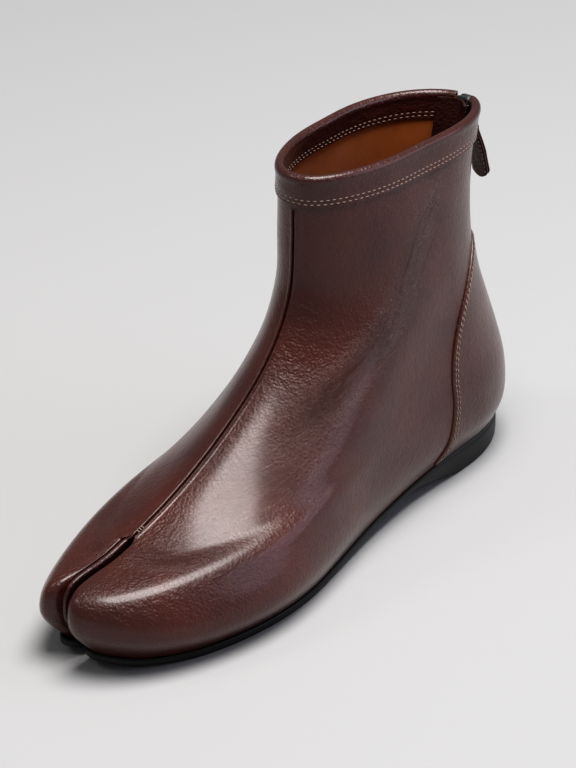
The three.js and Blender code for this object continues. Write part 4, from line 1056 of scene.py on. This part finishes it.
def outline_half(side, grow, gap):
    """Plan outline of one half as (x, ahead): the outer edge from the heel to the toe's tip, and
    the cleft's edge from its crotch to the tip."""
    edge = half_loop(np.array([0.0]), side, grow, steps=300)[0, :, :2]
    aside = np.abs(edge[:, 0] - cleft_x(edge[:, 1]))
    lip_side, lip_in = (value + grow for value in FEATHER_LIPS)
    from_front = np.maximum.accumulate(aside[::-1])
    cut = len(aside) - np.searchsorted(from_front, gap + lip_side)
    q = np.linspace(0, np.pi / 2, 60)
    lip_aside = gap + lip_side * (1 - np.sin(q))
    lip_base = np.interp(lip_aside, from_front, edge[::-1, 1])
    lip = np.stack([lip_aside, lip_base - lip_in * (1 - np.cos(q))], axis=-1)
    wall = np.stack([np.full(40, gap), np.linspace(lip[-1, 1], CROTCH + grow + gap, 41)[1:]], axis=-1)
    floor = np.stack([gap * np.cos(q), CROTCH + grow + gap * (1 - np.sin(q))], axis=-1)[1:]
    inner = np.concatenate([lip, wall, floor])
    inner = np.stack([cleft_x(inner[:, 1]) + side * inner[:, 0], inner[:, 1]], axis=-1)
    whole = np.concatenate([edge[:cut], inner])
    tip = whole[:, 1].argmax()
    return whole[:tip + 1], whole[tip:][::-1]


def sole_half(side, profile, upper_face, lower_face, gap, reach, cap_columns=10):
    """One half of a sole as closed sections, one for each row from the heel to the tip. A section
    runs over the underside from the centre line outwards, up the side by the profile (share of the
    height, inset), back over the top, and down the cleft's wall."""
    back_rows = 1 - np.cos(np.linspace(0, 1, 90) * np.pi / 2)
    front_rows = (1 - np.cos(np.linspace(0, 1, 40) * np.pi)) / 2
    front_rows = mix(front_rows, np.linspace(0, 1, 40), 0.3)
    rings = []
    for share, inset in profile:
        outer, inner = outline_half(side, reach - inset, gap + inset)
        crotch = inner[0, 1]
        ahead = np.concatenate([mix(outer[0, 1], crotch, back_rows),
                                mix(crotch, outer[-1, 1], front_rows)[1:]])
        x_out = np.interp(ahead, outer[:, 1], outer[:, 0])
        x_in = np.where(ahead <= crotch, cleft_x(ahead), np.interp(ahead, inner[:, 1], inner[:, 0]))
        z = mix(lower_face(ahead), upper_face(ahead), share)
        rings.append((x_out, x_in, ahead, z))
    over = np.linspace(0, 1, cap_columns)
    section = [(rings[0], t) for t in over] + [(ring, 1) for ring in rings[1:]]
    section += [(rings[-1], t) for t in over[-2::-1]] + [(ring, 0) for ring in rings[-2:0:-1]]
    grid = to_part(np.stack([np.stack([mix(x_in, x_out, t), ahead, z], axis=-1)
                             for (x_out, x_in, ahead, z), t in section], axis=1))
    rows, count = grid.shape[:2]
    ring = np.concatenate([grid, grid[:, :1]], axis=1)
    faces = grid_faces(rows, count + 1)
    wall_from = cap_columns + len(profile) - 1 + cap_columns - 1
    row_of, column_of = np.divmod(np.arange(len(faces)), count)
    shared = (column_of >= wall_from - 1) & (row_of < len(back_rows) - 1)
    return ring.reshape(-1, 3), faces[~shared]


def sole_shape(profile, upper_face, lower_face, gap, reach):
    """Both halves, which share their centre line behind the cleft."""
    return joined([sole_half(side, profile, upper_face, lower_face, gap[side], reach) for side in (1, -1)])


def moulded_rubber(name, shade, rough):
    """Moulded rubber: nearly black, with a dull even bloom and a 0.5 mm texture from the mould."""
    material, tree, place = blank_material(name)
    cloud = add(tree, "ShaderNodeTexNoise", {"Vector": place, "Scale": 60.0, "Detail": 3.0})
    range_ = add(tree, "ShaderNodeMapRange", {"Value": cloud.outputs["Fac"], "To Min": rough - 0.06,
                                              "To Max": rough + 0.06})
    grit = add(tree, "ShaderNodeTexNoise", {"Vector": place, "Scale": 2200.0, "Detail": 2.0})
    bump = add(tree, "ShaderNodeBump", {"Height": grit.outputs["Fac"], "Strength": 0.2, "Distance": 0.0003})
    return surfaced(material, {
        "Base Color": linear(shade), "Roughness": range_.outputs[0], "Normal": bump.outputs[0]})


black_rubber = moulded_rubber("black_rubber", "#1b1b1c", 0.5)
SOLE_PROFILE = ((0.0, 0.9), (0.03, 0.45), (0.12, 0.12), (0.25, 0.0), (0.7, 0.0), (0.76, 0.02), (0.79, 0.3),
                (0.82, 0.35), (0.86, 0.3), (0.89, 0.02), (0.95, 0.06), (0.99, 0.25), (1.0, 0.6))
sole = new_piece("outsole_rubber", *sole_shape(SOLE_PROFILE, sole_top, sole_under, SOLE_GAP, SOLE_REACH),
                 black_rubber, sharp=50)
fitted(sole, "boot", "outsole")

# The insole: a sock of the lining's leather over a thin board, with a rounded edge.
insole_leather = lining_leather("insole_leather", "#9c5724", "#84461a", 0.6)
INSOLE_PROFILE = ((0.0, 0.3), (0.2, 0.0), (0.7, 0.0), (0.92, 0.2), (1.0, 0.7))
insole = new_piece("insole_sock", *sole_shape(INSOLE_PROFILE, lambda ahead: sole_top(ahead) + 2.3,
                                              lambda ahead: sole_top(ahead) + 0.3, INSOLE_GAP, -2.5),
                   insole_leather, sharp=50)
fitted(insole, "boot", "insole")


# The floor: a plain pale sheet. It isn't part of the boot.
def paper(name, shade):
    """Matt studio paper with a very faint tooth."""
    material, tree, place = blank_material(name)
    tooth = add(tree, "ShaderNodeTexNoise", {"Vector": place, "Scale": 500.0, "Detail": 2.0})
    bump = add(tree, "ShaderNodeBump", {"Height": tooth.outputs["Fac"], "Strength": 0.05, "Distance": 0.0003})
    return surfaced(material, {
        "Base Color": linear(shade), "Roughness": 0.9, "Normal": bump.outputs[0]})


floor = bpy.data.meshes.new("floor")
floor.from_pydata([(-6, -6, 0), (6, -6, 0), (6, 6, 0), (-6, 6, 0)], [], [(0, 1, 2, 3)])
floor.materials.append(paper("studio_paper", "#b0b0b0"))
floor = bpy.data.objects.new("floor", floor)
bpy.context.scene.collection.objects.link(floor)

# Light: a dim even room under one large oval soft box, with a cooler one at the outer side and a
# small one in front.
world = bpy.data.worlds.new("studio")
world.use_nodes = True
world.node_tree.nodes["Background"].inputs[0].default_value = linear("#f6f7fb")
world.node_tree.nodes["Background"].inputs[1].default_value = 0.21
bpy.context.scene.world = world
AIM = Vector((0.0, -0.097, 0.070))


def soft_box(name, place, size, power, shade):
    """Oval area light at a place in metres, turned to the boot."""
    light = bpy.data.lights.new(name, "AREA")
    light.shape = "ELLIPSE"
    light.size, light.size_y = size
    light.energy = power
    light.color = linear(shade)[:3]
    box = bpy.data.objects.new(name, light)
    box.location = place
    box.rotation_euler = (AIM - Vector(place)).to_track_quat("-Z", "Y").to_euler()
    bpy.context.scene.collection.objects.link(box)


soft_box("overhead", (0.30, -0.05, 2.0), (1.55, 1.15), 45, "#fffdfb")
soft_box("side", (1.3, 0.75, 0.65), (1.5, 1.1), 6.0, "#e2e6fc")
soft_box("front", (-0.8, -0.9, 1.2), (0.4, 0.4), 1.5, "#fffdfa")

# The camera stands where the photograph was taken from, turned to this one boot, and its picture
# has a print's contrast.
camera = bpy.data.objects.new("camera", bpy.data.cameras.new("camera"))
camera.location = (0.68082, -0.94519, 0.66870)
roll = Matrix.Rotation(np.radians(-0.87), 3, "Z")
turn = (AIM - camera.location).to_track_quat("-Z", "Y").to_matrix() @ roll
camera.rotation_euler = turn.to_euler()
camera.data.sensor_width = 36.0
camera.data.lens = 144.0
camera.data.clip_end = 30.0
bpy.context.scene.collection.objects.link(camera)
bpy.context.scene.camera = camera
bpy.context.scene.view_settings.view_transform = "Standard"
bpy.context.scene.view_settings.look = "High Contrast"
